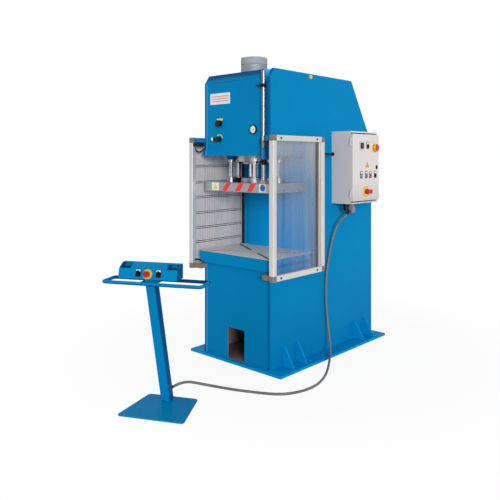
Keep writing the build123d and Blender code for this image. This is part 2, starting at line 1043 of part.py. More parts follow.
spindle_l = valve_depth / 2 + sheet_t - seat_gap
with BuildPart() as speed_knob:
    knob_face = front_plane(knob_x, body_front - knob_stand, knob_z)
    turn(
        knob_face,
        [
            (0, -spindle_l - knob_stand),
            (spindle_r, -spindle_l - knob_stand),
            (spindle_r, 0),
            (knob_r, 0),
            (knob_r, knob_h),
            (0, knob_h),
        ],
    )
    chamfer(speed_knob.edges().group_by(Axis.Y)[0], edge_break)
    with BuildSketch(knob_face) as grips:
        with PolarLocations(knob_r, knob_grips):
            Circle(knob_grip_r)
    extrude(grips.sketch, amount=knob_h, mode=Mode.SUBTRACT)
speed_knob.part.label = "speed_knob"
export_step(speed_knob.part, "parts/speed_knob.step")

with BuildPart() as pressure_lever:
    hub_face = front_plane(lever_x, body_front - knob_stand, lever_z)
    turn(
        hub_face,
        [
            (0, -spindle_l - knob_stand),
            (spindle_r, -spindle_l - knob_stand),
            (spindle_r, 0),
            (relief_hub_r, 0),
            (relief_hub_r, knob_h),
            (0, knob_h),
        ],
    )
    chamfer(pressure_lever.edges().group_by(Axis.Y)[0], edge_break)
    arm_base = Plane(hub_face.offset(knob_h / 2).origin, x_dir=(0, 1, 0), z_dir=(-1, 0, 0))
    disc(arm_base, relief_arm_r, relief_arm_l)
    with Locations(arm_base.offset(relief_arm_l).location):
        Sphere(relief_ball_r)
pressure_lever.part.label = "pressure_lever"
export_step(pressure_lever.part, "parts/pressure_lever.step")

# Filler plug in the right side plate
with BuildPart() as filler_plug:
    plug_face = side_plane(body_w / 2, plug_y, plug_z)
    turn(
        plug_face,
        [
            (0, -plug_stem_l),
            (plug_stem_r, -plug_stem_l),
            (plug_stem_r, 0),
            (plug_r, 0),
            (plug_r, plug_t),
            (0, plug_t),
        ],
    )
    chamfer(filler_plug.edges().group_by(Axis.X)[-1], edge_break)
filler_plug.part.label = "filler_plug"
export_step(filler_plug.part, "parts/filler_plug.step")

# Oil tank welded between the side plates, open to the filler plug
with BuildPart() as oil_tank:
    tank_mid_y = (tank_front + tank_rear) / 2
    block(Plane((0, tank_mid_y, tank_z)), 2 * side_x, tank_rear - tank_front, tank_top - tank_z)
    tank_shell = oil_tank.part
    hollow = offset(tank_shell, amount=-tank_wall, kind=Kind.INTERSECTION, mode=Mode.PRIVATE)
    add(hollow, mode=Mode.SUBTRACT)
    drill(side_plane(side_x, plug_y, plug_z), plug_stem_r + seat_gap, tank_wall)
oil_tank.part.label = "oil_tank"
export_step(oil_tank.part, "parts/oil_tank.step")

# Pump and motor on a plinth in the lower rear
motor_rear = motor_y + motor_l
with BuildPart() as pump_motor:
    block(Plane((0, motor_y + motor_l / 2 - pump_l / 2, base_t)), plinth_w, plinth_l, motor_axis_z - motor_r)
    motor_axis = Plane((0, motor_rear, motor_axis_z), x_dir=(1, 0, 0), z_dir=(0, -1, 0))
    turn(
        motor_axis,
        [
            (0, 0),
            (motor_r - motor_nose, 0),
            (motor_r, motor_nose_l),
            (motor_r, motor_l),
            (pump_r + pump_flange, motor_l),
            (pump_r + pump_flange, motor_l + pump_flange_l),
            (pump_r, motor_l + pump_flange_l),
            (pump_r, motor_l + pump_l),
            (0, motor_l + pump_l),
        ],
    )
pump_motor.part.label = "pump_motor"
export_step(pump_motor.part, "parts/pump_motor.step")

# Side guards: four posts and four rails of grooved profile, eight corner blocks, two panels
guard_mid_y = (guard_front + guard_rear) / 2
guard_mid_z = (guard_z + guard_top) / 2
post_ends = (guard_z + rail_h, guard_top - rail_h)
rail_ends = (guard_front + post_w, guard_rear - post_w)
post_x = guard_x - post_w / 2
panel_x = post_x
groove_w = panel_t + 2 * groove_slack
with BuildPart() as guard_posts:
    with BuildSketch(Plane.XY.offset(post_ends[0])) as post_section:
        with GridLocations(2 * post_x, rail_ends[1] - rail_ends[0] + post_w, 2, 2):
            with Locations((0, guard_mid_y)):
                RectangleRounded(post_w, post_w, corner_r)
        for side in (-1, 1):
            with Locations((side * panel_x, guard_mid_y)):
                Rectangle(
                    groove_w,
                    rail_ends[1] - rail_ends[0] + 2 * groove_depth,
                    mode=Mode.SUBTRACT,
                )
    extrude(amount=post_ends[1] - post_ends[0])
    latch_mouth = Plane(
        (post_x, guard_rear, latch_z), x_dir=(-1, 0, 0), z_dir=(0, 1, 0)
    )
    drill(latch_mouth, latch_r + fit_gap, latch_depth)
guard_posts.part.label = "guard_posts"
export_step(guard_posts.part, "parts/guard_posts.step")

rail_x = guard_x - rail_t / 2
rail_mids = (guard_z + rail_h / 2, guard_top - rail_h / 2)
guard_bolt_ys = (guard_front + guard_bolt_front, guard_rear - guard_bolt_rear)
with BuildPart() as guard_rails:
    with BuildSketch(front_plane(0, rail_ends[1], 0)) as rail_section:
        with Locations((0, guard_mid_z)):
            with GridLocations(2 * rail_x, guard_top - guard_z - rail_h, 2, 2):
                RectangleRounded(rail_t, rail_h, corner_r)
            with GridLocations(2 * panel_x, 0, 2, 1):
                Rectangle(
                    groove_w,
                    post_ends[1] - post_ends[0] + 2 * groove_depth,
                    mode=Mode.SUBTRACT,
                )
    extrude(amount=rail_ends[1] - rail_ends[0])
    for side in (-1, 1):
        for y in guard_bolt_ys:
            for z in rail_mids:
                rail_face = Plane((side * guard_x, y, z), x_dir=(0, 1, 0), z_dir=(side, 0, 0))
                drill(rail_face, guard_bolt_shank_r + seat_gap, rail_t / 2)
guard_rails.part.label = "guard_rails"
export_step(guard_rails.part, "parts/guard_rails.step")

with BuildPart() as guard_corners:
    with BuildSketch(Plane.XY.offset(guard_z)) as lower_corners:
        with Locations((0, guard_mid_y)):
            with GridLocations(2 * post_x, rail_ends[1] - rail_ends[0] + post_w, 2, 2):
                RectangleRounded(post_w, post_w, corner_r)
    extrude(lower_corners.sketch, amount=rail_h)
    upper_corners = lower_corners.sketch.moved(Location((0, 0, post_ends[1] - guard_z)))
    extrude(upper_corners, amount=rail_h)
guard_corners.part.label = "guard_corners"
export_step(guard_corners.part, "parts/guard_corners.step")

panel_margin = groove_depth - groove_slack
with BuildPart() as guard_panels:
    with BuildSketch(side_plane(panel_x - panel_t / 2, guard_mid_y, guard_mid_z)) as panel_face:
        Rectangle(rail_ends[1] - rail_ends[0] + 2 * panel_margin, post_ends[1] - post_ends[0])
        Rectangle(rail_ends[1] - rail_ends[0], post_ends[1] - post_ends[0] + 2 * panel_margin)
    extrude(amount=panel_t)
    mirror(about=Plane.YZ)
guard_panels.part.label = "guard_panels"
export_step(guard_panels.part, "parts/guard_panels.step")

# Brackets from the corner blocks to the frame: cranked in front, straight at the rear
bracket_inner = guard_x - post_w
rear_bracket_y = guard_rear - post_w / 2
with BuildPart() as guard_brackets:
    for z in rail_mids:
        with BuildSketch(Plane.XY.offset(z - bracket_h / 2)) as bracket_plan:
            with BuildLine():
                Polyline(
                    (bracket_inner, bracket_y - bracket_t / 2),
                    (bracket_inner, bracket_y + bracket_t / 2),
                    (body_w / 2, bracket_y + bracket_t / 2),
                    (body_w / 2, body_front),
                    (body_w / 2 - bracket_foot, body_front),
                    (body_w / 2 - bracket_foot, bracket_y - bracket_t / 2),
                    close=True,
                )
            make_face()
            with Locations(((bracket_inner + body_w / 2) / 2, rear_bracket_y)):
                Rectangle(bracket_inner - body_w / 2, rear_bracket_w)
            mirror(about=Plane.YZ)
        extrude(bracket_plan.sketch, amount=bracket_h)
guard_brackets.part.label = "guard_brackets"
export_step(guard_brackets.part, "parts/guard_brackets.step")

with BuildPart() as guard_bolts:
    for side in (-1, 1):
        for y in guard_bolt_ys:
            for z in rail_mids:
                turn(
                    Plane((side * guard_x, y, z), x_dir=(0, 1, 0), z_dir=(side, 0, 0)),
                    [
                        (0, -rail_t / 4),
                        (guard_bolt_shank_r, -rail_t / 4),
                        (guard_bolt_shank_r, 0),
                        (guard_bolt_r, 0),
                        (guard_bolt_r, guard_bolt_head),
                        (0, guard_bolt_head),
                    ],
                )
guard_bolts.part.label = "guard_bolts"
export_step(guard_bolts.part, "parts/guard_bolts.step")

# Latch pin of the right guard, with its ball
with BuildPart() as guard_latch:
    disc(latch_mouth.offset(seat_gap - latch_depth), latch_r, latch_depth + latch_l)
    with Locations(latch_mouth.offset(latch_l).location):
        Sphere(latch_ball_r)
guard_latch.part.label = "guard_latch"
export_step(guard_latch.part, "parts/guard_latch.step")

# Control cabinet: an open box on the right side plate, with the lower halves of its hinges
hinge_x = cabinet_mouth + hinge_pin_r + seat_gap
hinge_y = cabinet_front_y - hinge_r
hinge_levels = (cabinet_z + hinge_inset, cabinet_z + cabinet_h - hinge_inset)
with BuildPart() as cabinet_box:
    block(side_plane(cabinet_x, cabinet_mid_y, cabinet_mid_z), cabinet_w, cabinet_h, cabinet_depth)
    offset(
        amount=-cabinet_wall,
        openings=cabinet_box.faces().sort_by(Axis.X)[-1],
        kind=Kind.INTERSECTION,
    )
    lip_shift = (cabinet_h - cabinet_lip) / 2
    for z in (cabinet_mid_z - lip_shift, cabinet_mid_z + lip_shift):
        block(side_plane(cabinet_mouth - cabinet_wall, cabinet_mid_y, z), cabinet_w, cabinet_lip, cabinet_wall)
    for z in hinge_levels:
        knuckle = Plane((hinge_x, hinge_y, z))
        disc(knuckle, hinge_r, -hinge_l)
        disc(knuckle.offset(-hinge_l), hinge_pin_r, 2 * hinge_l - 2)
        block(
            Plane((hinge_x - hinge_r, hinge_y, z - hinge_l)), 2 * hinge_r, 2 * hinge_r, hinge_l
        )
cabinet_box.part.label = "cabinet_box"
export_step(cabinet_box.part, "parts/cabinet_box.step")

# Door: a shallow tray with its cut-outs, the rings round the buttons and the upper hinge halves
door_w = cabinet_w - 2 * hinge_gap
door_h = cabinet_h - 2 * door_margin
with BuildPart() as cabinet_door:
    door_front = side_plane(door_face, cabinet_mid_y, cabinet_mid_z)
    block(door_front.offset(seat_gap - door_t), door_w, door_h, door_t - seat_gap)
    offset(
        amount=-door_skin,
        openings=cabinet_door.faces().sort_by(Axis.X)[0],
        kind=Kind.INTERSECTION,
    )
    for y in row_y[1:3]:
        disc(side_plane(door_face, y, row_z), bezel_r, bezel_h)
    drill(side_plane(door_face + bezel_h, row_y[1], row_z), button_r + loose_gap, bezel_h + door_skin)
    drill(side_plane(door_face + bezel_h, row_y[2], row_z), button_r + loose_gap, bezel_h + door_skin)
    for y, z, radius in (
        (door_estop_y, door_estop_z, estop_neck_r),
        (selector_y, selector_z, selector_stem_r),
        (row_y[3], row_z, selector_stem_r),
        (lock_y, lock_z, selector_stem_r),
        (switch_y, switch_z, selector_stem_r),
    ):
        drill(side_plane(door_face, y, z), radius + seat_gap, door_skin)
    with BuildSketch(side_plane(door_face, display_y, display_z)) as window:
        Rectangle(display_body + 2 * seat_gap, display_body + 2 * seat_gap)
    extrude(window.sketch, amount=-door_skin, mode=Mode.SUBTRACT)
    for z in hinge_levels:
        knuckle = Plane((hinge_x, hinge_y, z + hinge_gap))
        disc(knuckle, hinge_r, hinge_l)
        block(Plane((hinge_x + hinge_r, hinge_y + hinge_r / 2, z + hinge_gap)), 2 * hinge_r, 2 * hinge_r, hinge_l)
        drill(knuckle.offset(hinge_l), hinge_pin_r + fit_gap, hinge_l)
cabinet_door.part.label = "cabinet_door"
export_step(cabinet_door.part, "parts/cabinet_door.step")

# Mounting plate with its rail and a row of switching devices
with BuildPart() as cabinet_plate:
    plate_face = side_plane(cabinet_x + cabinet_wall, cabinet_mid_y, cabinet_mid_z)
    for y in (-1, 1):
        for z in (-1, 1):
            stud = side_plane(
                cabinet_x + cabinet_wall,
                cabinet_mid_y + y * (cabinet_w / 2 - 2 * plate_margin),
                cabinet_mid_z + z * (cabinet_h / 2 - 2 * plate_margin),
            )
            disc(stud, cabinet_wall, plate_gap)
    block(
        plate_face.offset(plate_gap),
        cabinet_w - 2 * plate_margin,
        cabinet_h - 2 * plate_margin,
        plate_t,
    )
    with BuildSketch(plate_face.offset(plate_gap + plate_t)) as devices:
        with GridLocations(device_pitch, device_rows, device_count, 2):
            Rectangle(device_w, device_h)
    extrude(devices.sketch, amount=device_depth)
cabinet_plate.part.label = "cabinet_plate"
export_step(cabinet_plate.part, "parts/cabinet_plate.step")

# Door fittings
with BuildPart() as display_module:
    display_face = side_plane(door_face, display_y, display_z)
    block(display_face, display_w, display_w, display_t)
    block(display_face.offset(-display_body_l), display_body, display_body, display_body_l)
display_module.part.label = "display_module"
export_step(display_module.part, "parts/display_module.step")


def push_button(frame):
    # A button cap on its stem
    turn(
        frame,
        [
            (0, -button_stem_l),
            (button_stem_r, -button_stem_l),
            (button_stem_r, bezel_h),
            (button_r, bezel_h),
            (button_r, bezel_h + button_h),
            (0, bezel_h + button_h),
        ],
    )


def mushroom(frame, radius, stem_l):
    # An emergency-stop head on its neck
    turn(
        frame,
        [
            (0, -stem_l),
            (estop_neck_r, -stem_l),
            (estop_neck_r, estop_neck_h),
            (radius, estop_neck_h),
            (radius, estop_neck_h + estop_h - estop_round),
            (radius - estop_round, estop_neck_h + estop_h),
            (0, estop_neck_h + estop_h),
        ],
    )


def selector(frame, stem_l):
    # A rotary selector with a raised grip bar
    turn(
        frame,
        [
            (0, -stem_l),
            (selector_stem_r, -stem_l),
            (selector_stem_r, seat_gap),
            (selector_r, seat_gap),
            (selector_r, selector_h / 2),
            (0, selector_h / 2),
        ],
    )
    block(frame.offset(selector_h / 2), selector_bar_w, selector_bar_l, selector_h / 2)


with BuildPart() as start_button:
    push_button(side_plane(door_face, row_y[1], row_z))
start_button.part.label = "start_button"
export_step(start_button.part, "parts/start_button.step")

with BuildPart() as stop_button:
    push_button(side_plane(door_face, row_y[2], row_z))
stop_button.part.label = "stop_button"
export_step(stop_button.part, "parts/stop_button.step")

with BuildPart() as lever_selector:
    selector(side_plane(door_face, row_y[3], row_z), button_stem_l)
lever_selector.part.label = "lever_selector"
export_step(lever_selector.part, "parts/lever_selector.step")

with BuildPart() as mode_selector:
    selector(side_plane(door_face, selector_y, selector_z), button_stem_l)
mode_selector.part.label = "mode_selector"
export_step(mode_selector.part, "parts/mode_selector.step")

with BuildPart() as door_estop:
    mushroom(side_plane(door_face, door_estop_y, door_estop_z), estop_r, button_stem_l)
door_estop.part.label = "door_estop"
export_step(door_estop.part, "parts/door_estop.step")

with BuildPart() as door_lock:
    lock_face = side_plane(door_face, lock_y, lock_z)
    turn(
        lock_face,
        [
            (0, -button_stem_l),
            (selector_stem_r, -button_stem_l),
            (selector_stem_r, seat_gap),
            (lock_r, seat_gap),
            (lock_r, lock_h),
            (0, lock_h),
        ],
    )
    with BuildSketch(lock_face.offset(lock_h)) as key_slot:
        SlotOverall(lock_r, lock_h / 2, rotation=90)
    extrude(key_slot.sketch, amount=-lock_h / 2, mode=Mode.SUBTRACT)
door_lock.part.label = "door_lock"
export_step(door_lock.part, "parts/door_lock.step")

with BuildPart() as main_switch:
    switch_face = side_plane(door_face, switch_y, switch_z)
    turn(
        switch_face,
        [
            (0, -button_stem_l),
            (selector_stem_r, -button_stem_l),
            (selector_stem_r, seat_gap),
            (switch_hub_r, seat_gap),
            (switch_hub_r, switch_hub_h),
            (0, switch_hub_h),
        ],
    )
    with BuildSketch(switch_face.offset(switch_hub_h)) as grip:
        SlotOverall(switch_grip_l, switch_grip_w)
    extrude(grip.sketch, amount=switch_grip_h)
main_switch.part.label = "main_switch"
export_step(main_switch.part, "parts/main_switch.step")

# Glands under the cabinet: a spare one, and the elbow that the conduit leaves
with BuildPart() as cable_gland:
    gland_frame = Plane((gland_x, gland_y, cabinet_z), x_dir=(1, 0, 0), z_dir=(0, 0, -1))
    turn(
        gland_frame,
        [
            (0, 0),
            (cable_gland_r, 0),
            (cable_gland_r, cable_gland_l / 2),
            (cable_gland_r - cable_gland_step, cable_gland_l / 2),
            (cable_gland_r - cable_gland_step, cable_gland_l - cable_gland_tip),
            (cable_gland_r - cable_gland_step - cable_gland_taper, cable_gland_l),
            (0, cable_gland_l),
        ],
    )
cable_gland.part.label = "cable_gland"
export_step(cable_gland.part, "parts/cable_gland.step")

conduit_start = Vector(*conduit_route[0])
conduit_heading = (Vector(*conduit_route[1]) - conduit_start).normalized()
with BuildPart() as conduit_elbow:
    block(Plane((elbow_x, elbow_y, cabinet_z - elbow_h)), elbow_w, elbow_w, elbow_h - elbow_nut_h)
    fillet(conduit_elbow.edges().filter_by(Axis.Z), corner_r)
    with BuildSketch(Plane((elbow_x, elbow_y, cabinet_z - elbow_nut_h))) as elbow_nut:
        RegularPolygon(elbow_nut_r, 6)
    extrude(elbow_nut.sketch, amount=elbow_nut_h)
    disc(Plane(conduit_start, z_dir=-conduit_heading), outlet_r, outlet_l)
conduit_elbow.part.label = "conduit_elbow"
export_step(conduit_elbow.part, "parts/conduit_elbow.step")

# Conduit: straight runs joined by tangent arcs
conduit_radii = corner_radii(conduit_route)
with BuildPart() as conduit:
    with BuildLine() as conduit_path:
        FilletPolyline(*conduit_route, radius=conduit_radii)
    with BuildSketch(Plane(conduit_start, z_dir=conduit_heading)) as conduit_section:
        Circle(conduit_r)
    sweep(conduit_section.sketch, path=conduit_path.wires()[0])
conduit.part.label = "conduit"
export_step(conduit.part, "parts/conduit.step")
conduit_length = conduit_path.wires()[0].length
section_area = conduit_section.sketch.area
print("conduit radii", [round(radius) for radius in conduit_radii])
print("conduit length", round(conduit_length))
print("conduit volume against section times length", conduit.part.volume / (section_area * conduit_length))

# Pedestal, in its own turned plane: x along the console, y away from the operator
turn_cos = cos(radians(pedestal_turn))
turn_sin = sin(radians(pedestal_turn))
stand = Plane((pedestal_x, pedestal_y, 0), x_dir=(turn_cos, turn_sin, 0), z_dir=(0, 0, 1))


def stand_side(x):
    # The plane across the pedestal at x, with its y away from the operator and its height up
    origin = stand.from_local_coords((x, 0, 0))
    return Plane(origin, x_dir=stand.y_dir, z_dir=stand.x_dir)


with BuildPart() as pedestal_foot:
    with BuildSketch(stand) as foot_face:
        with BuildLine():
            Polyline(
                (foot_side - foot_front_w / 2, foot_front),
                (foot_side + foot_front_w / 2, foot_front),
                (foot_side + foot_back_w / 2, foot_back),
                (foot_side - foot_back_w / 2, foot_back),
                close=True,
            )
        make_face()
        chamfer(foot_face.vertices(), foot_chamfer)
    extrude(amount=foot_plate_t)
pedestal_foot.part.label = "pedestal_foot"
export_step(pedestal_foot.part, "parts/pedestal_foot.step")

# Leaning column of square tube, cut level at both ends, with the conduit's gland on its rear
column_foot = Vector(0, column_foot_y, foot_plate_t)
column_axis = Vector(0, -column_lean, column_rise).normalized()
column_start = stand.from_local_coords(column_foot - column_axis * column_w)
column_end = Vector(*conduit_route[-1])
column_heading = (column_end - Vector(*conduit_route[-2])).normalized()
lean_z = stand.from_local_coords(column_axis) - stand.origin
with BuildPart() as pedestal_column:
    with BuildSketch(Plane(column_start, x_dir=stand.x_dir, z_dir=lean_z)) as tube:
        Rectangle(column_w, column_w)
        Rectangle(column_w - 2 * column_wall, column_w - 2 * column_wall, mode=Mode.SUBTRACT)
    extrude(amount=console_z + 3 * column_w)
    disc(Plane(column_end, z_dir=column_heading), outlet_r, column_gland_l)
    split(bisect_by=Plane.XY.offset(foot_plate_t), keep=Keep.TOP)
    split(bisect_by=Plane.XY.offset(console_z), keep=Keep.BOTTOM)
pedestal_column.part.label = "pedestal_column"
export_step(pedestal_column.part, "parts/pedestal_column.step")

# Hand-guard ring of round bar, held by two straps on the column
with BuildPart() as pedestal_ring:
    with BuildSketch(stand.offset(ring_z)) as ring_loop:
        with Locations((ring_side, (ring_front + ring_rear) / 2)):
            RectangleRounded(ring_w, ring_rear - ring_front, ring_bend)
    ring_path = ring_loop.sketch.faces()[0].outer_wire()
    with BuildSketch(Plane(ring_path @ 0, z_dir=ring_path % 0)) as bar:
        Circle(ring_bar_r)
    sweep(bar.sketch, path=ring_path, mode=Mode.REPLACE)
    strap_x = column_w / 2 + strap_t / 2
    with BuildSketch(stand.offset(ring_z - strap_h / 2)) as straps:
        with Locations((0, (ring_front + ring_rear) / 2)):
            with GridLocations(2 * strap_x, 0, 2, 1):
                Rectangle(strap_t, ring_rear - ring_front)
    extrude(straps.sketch, amount=strap_h)
pedestal_ring.part.label = "pedestal_ring"
export_step(pedestal_ring.part, "parts/pedestal_ring.step")

# Console: a sloping front, and a hood with a recess at each end for a palm button
lip_y = console_front + console_lean
lip_z = console_z + console_lip
shelf_z = lip_z - shelf_drop
hood_z = console_z + hood_h
console_slope = Vector(0, console_lean, console_lip).normalized()
console_normal = Vector(0, -console_lip, console_lean).normalized()
with BuildPart() as console_housing:
    with BuildSketch(stand_side(-console_w / 2)) as console_profile:
        with BuildLine():
            Polyline(
                (console_front, console_z),
                (lip_y, lip_z),
                (lip_y + hood_t, lip_z),
                (lip_y + hood_t, shelf_z),
                (console_back - hood_t, shelf_z),
                (console_back - hood_t, hood_z - hood_t),
                (console_back - hood_l, hood_z - hood_t),
                (console_back - hood_l, hood_z),
                (console_back, hood_z),
                (console_back, console_z),
                close=True,
            )
        make_face()
    extrude(amount=console_w)
    with BuildSketch(stand_side(-console_w / 2)) as wing_profile:
        with BuildLine():
            Polyline(
                (lip_y, lip_z),
                (console_back - hood_l, hood_z),
                (console_back, hood_z),
                (console_back, console_z),
                (lip_y, console_z),
                close=True,
            )
        make_face()
    extrude(wing_profile.sketch, amount=hood_t)
    middle = wing_profile.sketch.moved(Location(stand.x_dir * (console_w - hood_mid_w) / 2))
    extrude(middle, amount=hood_mid_w)
    right_wing = wing_profile.sketch.moved(Location(stand.x_dir * (console_w - hood_t)))
    extrude(right_wing, amount=hood_t)
    console_face = Plane(
        stand.from_local_coords(Vector(0, console_front, console_z) + console_slope * console_row_h),
        x_dir=stand.x_dir,
        z_dir=stand.from_local_coords(console_normal) - stand.origin,
    )
    estop_face = Plane(
        stand.from_local_coords(Vector(0, console_front, console_z) + console_slope * console_control_h),
        x_dir=stand.x_dir,
        z_dir=console_face.z_dir,
    )
    left_face = Plane(
        console_face.from_local_coords((console_selector_left, 0, 0)),
        x_dir=console_face.x_dir,
        z_dir=console_face.z_dir,
    )
    right_face = Plane(
        console_face.from_local_coords((console_selector_right, 0, 0)),
        x_dir=console_face.x_dir,
        z_dir=console_face.z_dir,
    )
    drill(estop_face, estop_neck_r + seat_gap, 2 * button_stem_l)
    drill(left_face, selector_stem_r + seat_gap, 2 * button_stem_l)
    drill(right_face, selector_stem_r + seat_gap, 2 * button_stem_l)
    for x in (-palm_x, palm_x):
        palm_seat = Plane(
            stand.from_local_coords((x, palm_y, shelf_z)), x_dir=stand.x_dir, z_dir=(0, 0, 1)
        )
        drill(palm_seat, palm_neck_r + seat_gap, 2 * palm_stem_l)
console_housing.part.label = "console_housing"
export_step(console_housing.part, "parts/console_housing.step")


def palm_button(x):
    # A palm button on the console shelf
    seat = Plane(
        stand.from_local_coords((x, palm_y, shelf_z)), x_dir=stand.x_dir, z_dir=(0, 0, 1)
    )
    turn(
        seat,
        [
            (0, -palm_stem_l),
            (palm_neck_r, -palm_stem_l),
            (palm_neck_r, palm_neck_h),
            (palm_r, palm_neck_h),
            (palm_r, palm_neck_h + palm_h - palm_round_h),
            (palm_r - palm_round_r, palm_neck_h + palm_h),
            (0, palm_neck_h + palm_h),
        ],
    )


with BuildPart() as left_palm_button:
    palm_button(-palm_x)
left_palm_button.part.label = "left_palm_button"
export_step(left_palm_button.part, "parts/left_palm_button.step")

with BuildPart() as right_palm_button:
    palm_button(palm_x)
right_palm_button.part.label = "right_palm_button"
export_step(right_palm_button.part, "parts/right_palm_button.step")

with BuildPart() as console_estop:
    mushroom(estop_face, console_estop_r, button_stem_l)
console_estop.part.label = "console_estop"
export_step(console_estop.part, "parts/console_estop.step")

with BuildPart() as left_selector:
    selector(left_face, button_stem_l)
left_selector.part.label = "left_selector"
export_step(left_selector.part, "parts/left_selector.step")

with BuildPart() as right_selector:
    selector(right_face, button_stem_l)
right_selector.part.label = "right_selector"
export_step(right_selector.part, "parts/right_selector.step")
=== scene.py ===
import math
import bmesh
import bpy
import numpy as np
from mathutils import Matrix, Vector


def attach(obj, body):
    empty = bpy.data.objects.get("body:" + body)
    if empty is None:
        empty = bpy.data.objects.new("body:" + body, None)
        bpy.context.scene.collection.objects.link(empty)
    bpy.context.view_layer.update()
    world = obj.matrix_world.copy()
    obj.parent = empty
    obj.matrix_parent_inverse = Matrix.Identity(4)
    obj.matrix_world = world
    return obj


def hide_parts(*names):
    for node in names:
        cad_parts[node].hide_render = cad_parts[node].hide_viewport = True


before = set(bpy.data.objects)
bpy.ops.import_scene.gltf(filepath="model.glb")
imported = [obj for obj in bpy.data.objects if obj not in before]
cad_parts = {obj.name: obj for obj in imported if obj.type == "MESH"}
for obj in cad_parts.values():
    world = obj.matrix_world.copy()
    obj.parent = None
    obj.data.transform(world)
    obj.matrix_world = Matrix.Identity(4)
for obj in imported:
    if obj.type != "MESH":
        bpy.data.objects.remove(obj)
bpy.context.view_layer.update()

print("frame loaded:", len(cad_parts), "nodes")


def addObject(name, data):
    made = bpy.data.objects.new(name, data)
    bpy.context.scene.collection.objects.link(made)
    return made


# Colours: sRGB hex to linear, by the standard sRGB curve
def linearColour(hexCode):
    values = np.array([int(hexCode[i:i + 2], 16) for i in (1, 3, 5)]) / 255
    linear = np.where(values <= 0.04045, values / 12.92, ((values + 0.055) / 1.055) ** 2.4)
    return (*linear.tolist(), 1.0)


# Adds a shader node, sets its properties, fills its inputs with numbers, hex colours or links to
# other outputs, and gives back one of its own outputs
def addNode(tree, kind, inputs, output=0, **settings):
    node = tree.nodes.new("ShaderNode" + kind)
    for name, value in settings.items():
        setattr(node, name, value)
    for name, value in inputs.items():
        if isinstance(value, bpy.types.NodeSocket):
            tree.links.new(value, node.inputs[name])
        else:
            node.inputs[name].default_value = linearColour(value) if isinstance(value, str) else value
    return node.outputs[output] if node.outputs else None


def newMaterial(name):
    material = bpy.data.materials.new(name)
    material.use_nodes = True
    material.node_tree.nodes.clear()
    return material.node_tree


# Object coordinates, stretched by a Mapping node so that a pattern has a direction
def objectPlace(tree, stretch=(1, 1, 1)):
    place = addNode(tree, "TexCoord", {}, "Object")
    return addNode(tree, "Mapping", {"Vector": place, "Scale": stretch})


# A noise read between two limits, as a factor from 0 to 1
def noiseBand(tree, vector, scale, low, high, detail=3.0):
    settings = {"Vector": vector, "Scale": scale, "Detail": detail, "Roughness": 0.55}
    noise = addNode(tree, "TexNoise", settings, "Fac")
    return addNode(tree, "MapRange", {"Value": noise, "From Min": low, "From Max": high})


# The product of factors that each rise from 0 to 1 between start and end of: an Object coordinate
# ("X", start, end), the distance from a line along X ("ROUND", (y, z), start, end), or the part of
# the Object place or of the face's Normal along a direction ("Normal", direction, start, end)
def placeFactor(tree, *limits):
    inside = 1.0
    for kind, *about, start, end in limits:
        source = addNode(tree, "TexCoord", {}, "Normal" if kind == "Normal" else "Object")
        if kind == "ROUND":
            flat = addNode(tree, "VectorMath", {0: source, 1: (0, 1, 1)}, operation="MULTIPLY")
            pair = {0: flat, 1: (0, *about[0])}
            value = addNode(tree, "VectorMath", pair, "Value", operation="DISTANCE")
        elif about:
            pair = {0: source, 1: about[0]}
            value = addNode(tree, "VectorMath", pair, "Value", operation="DOT_PRODUCT")
        else:
            value = addNode(tree, "SeparateXYZ", {"Vector": source}, kind)
        band = addNode(tree, "MapRange", {"Value": value, "From Min": start, "From Max": end})
        inside = addNode(tree, "Math", {0: band, 1: inside}, operation="MULTIPLY")
    return inside


# Tones laid over a colour, one after the other, each by its factor times its share
def layeredColour(tree, colour, *layers):
    for factor, share, tone in layers:
        part = addNode(tree, "Math", {0: factor, 1: share}, operation="MULTIPLY")
        colour = addNode(tree, "Mix", {0: part, 6: colour, 7: tone}, 2, data_type="RGBA")
    return colour


# A skin: its colour, a roughness that a factor takes from one value to another, a relief of some
# strength and depth in metres, and what else its shader holds
def skin(tree, colour, gloss, relief, held):
    factor, least, most = gloss
    height, strength, depth = relief
    return addNode(tree, "BsdfPrincipled", {
        "Base Color": colour,
        "Roughness": addNode(tree, "MapRange", {"Value": factor, "To Min": least, "To Max": most}),
        "Normal": addNode(tree, "Bump", {"Height": height, "Strength": strength, "Distance": depth}),
        **held,
    })


# Sprayed enamel on plate: a soft gloss with an orange-peel skin of about 4 mm, slightly uneven in
# tone; "low" darkens it towards the floor as painted shade, and "bands" are tones over places
def sprayedEnamel(name, base, shade, roughness, peelSize=0.004, low=None, bands=()):
    tree = newMaterial(name)
    plain = objectPlace(tree)
    cloudy = noiseBand(tree, plain, 1.6, 0.3, 0.7)
    speckle = noiseBand(tree, plain, 90, 0.35, 0.75)
    colour = layeredColour(tree, base, (cloudy, 1.0, shade), (speckle, 0.10, shade))
    if low:
        patchy = noiseBand(tree, plain, 5, 0.3, 0.75)
        patchy = addNode(tree, "MapRange", {"Value": patchy, "To Min": 0.85})
        depth = placeFactor(tree, ("Z", *low["between"]))
        floorShade = addNode(tree, "Math", {0: depth, 1: patchy}, operation="MULTIPLY")
        colour = layeredColour(tree, colour, (floorShade, low["most"], low["colour"]))
    layers = [(placeFactor(tree, *limits), 1.0, tone) for tone, *limits in bands]
    peel = noiseBand(tree, plain, 1 / peelSize, 0.2, 0.8, 1.5)
    colour = layeredColour(tree, colour, *layers)
    gloss, held = (cloudy, roughness - 0.03, roughness + 0.05), {"IOR": 1.5, "Specular IOR Level": 0.03}
    enamel = skin(tree, colour, gloss, (peel, 0.12, 0.0004), held)
    addNode(tree, "OutputMaterial", {"Surface": enamel})


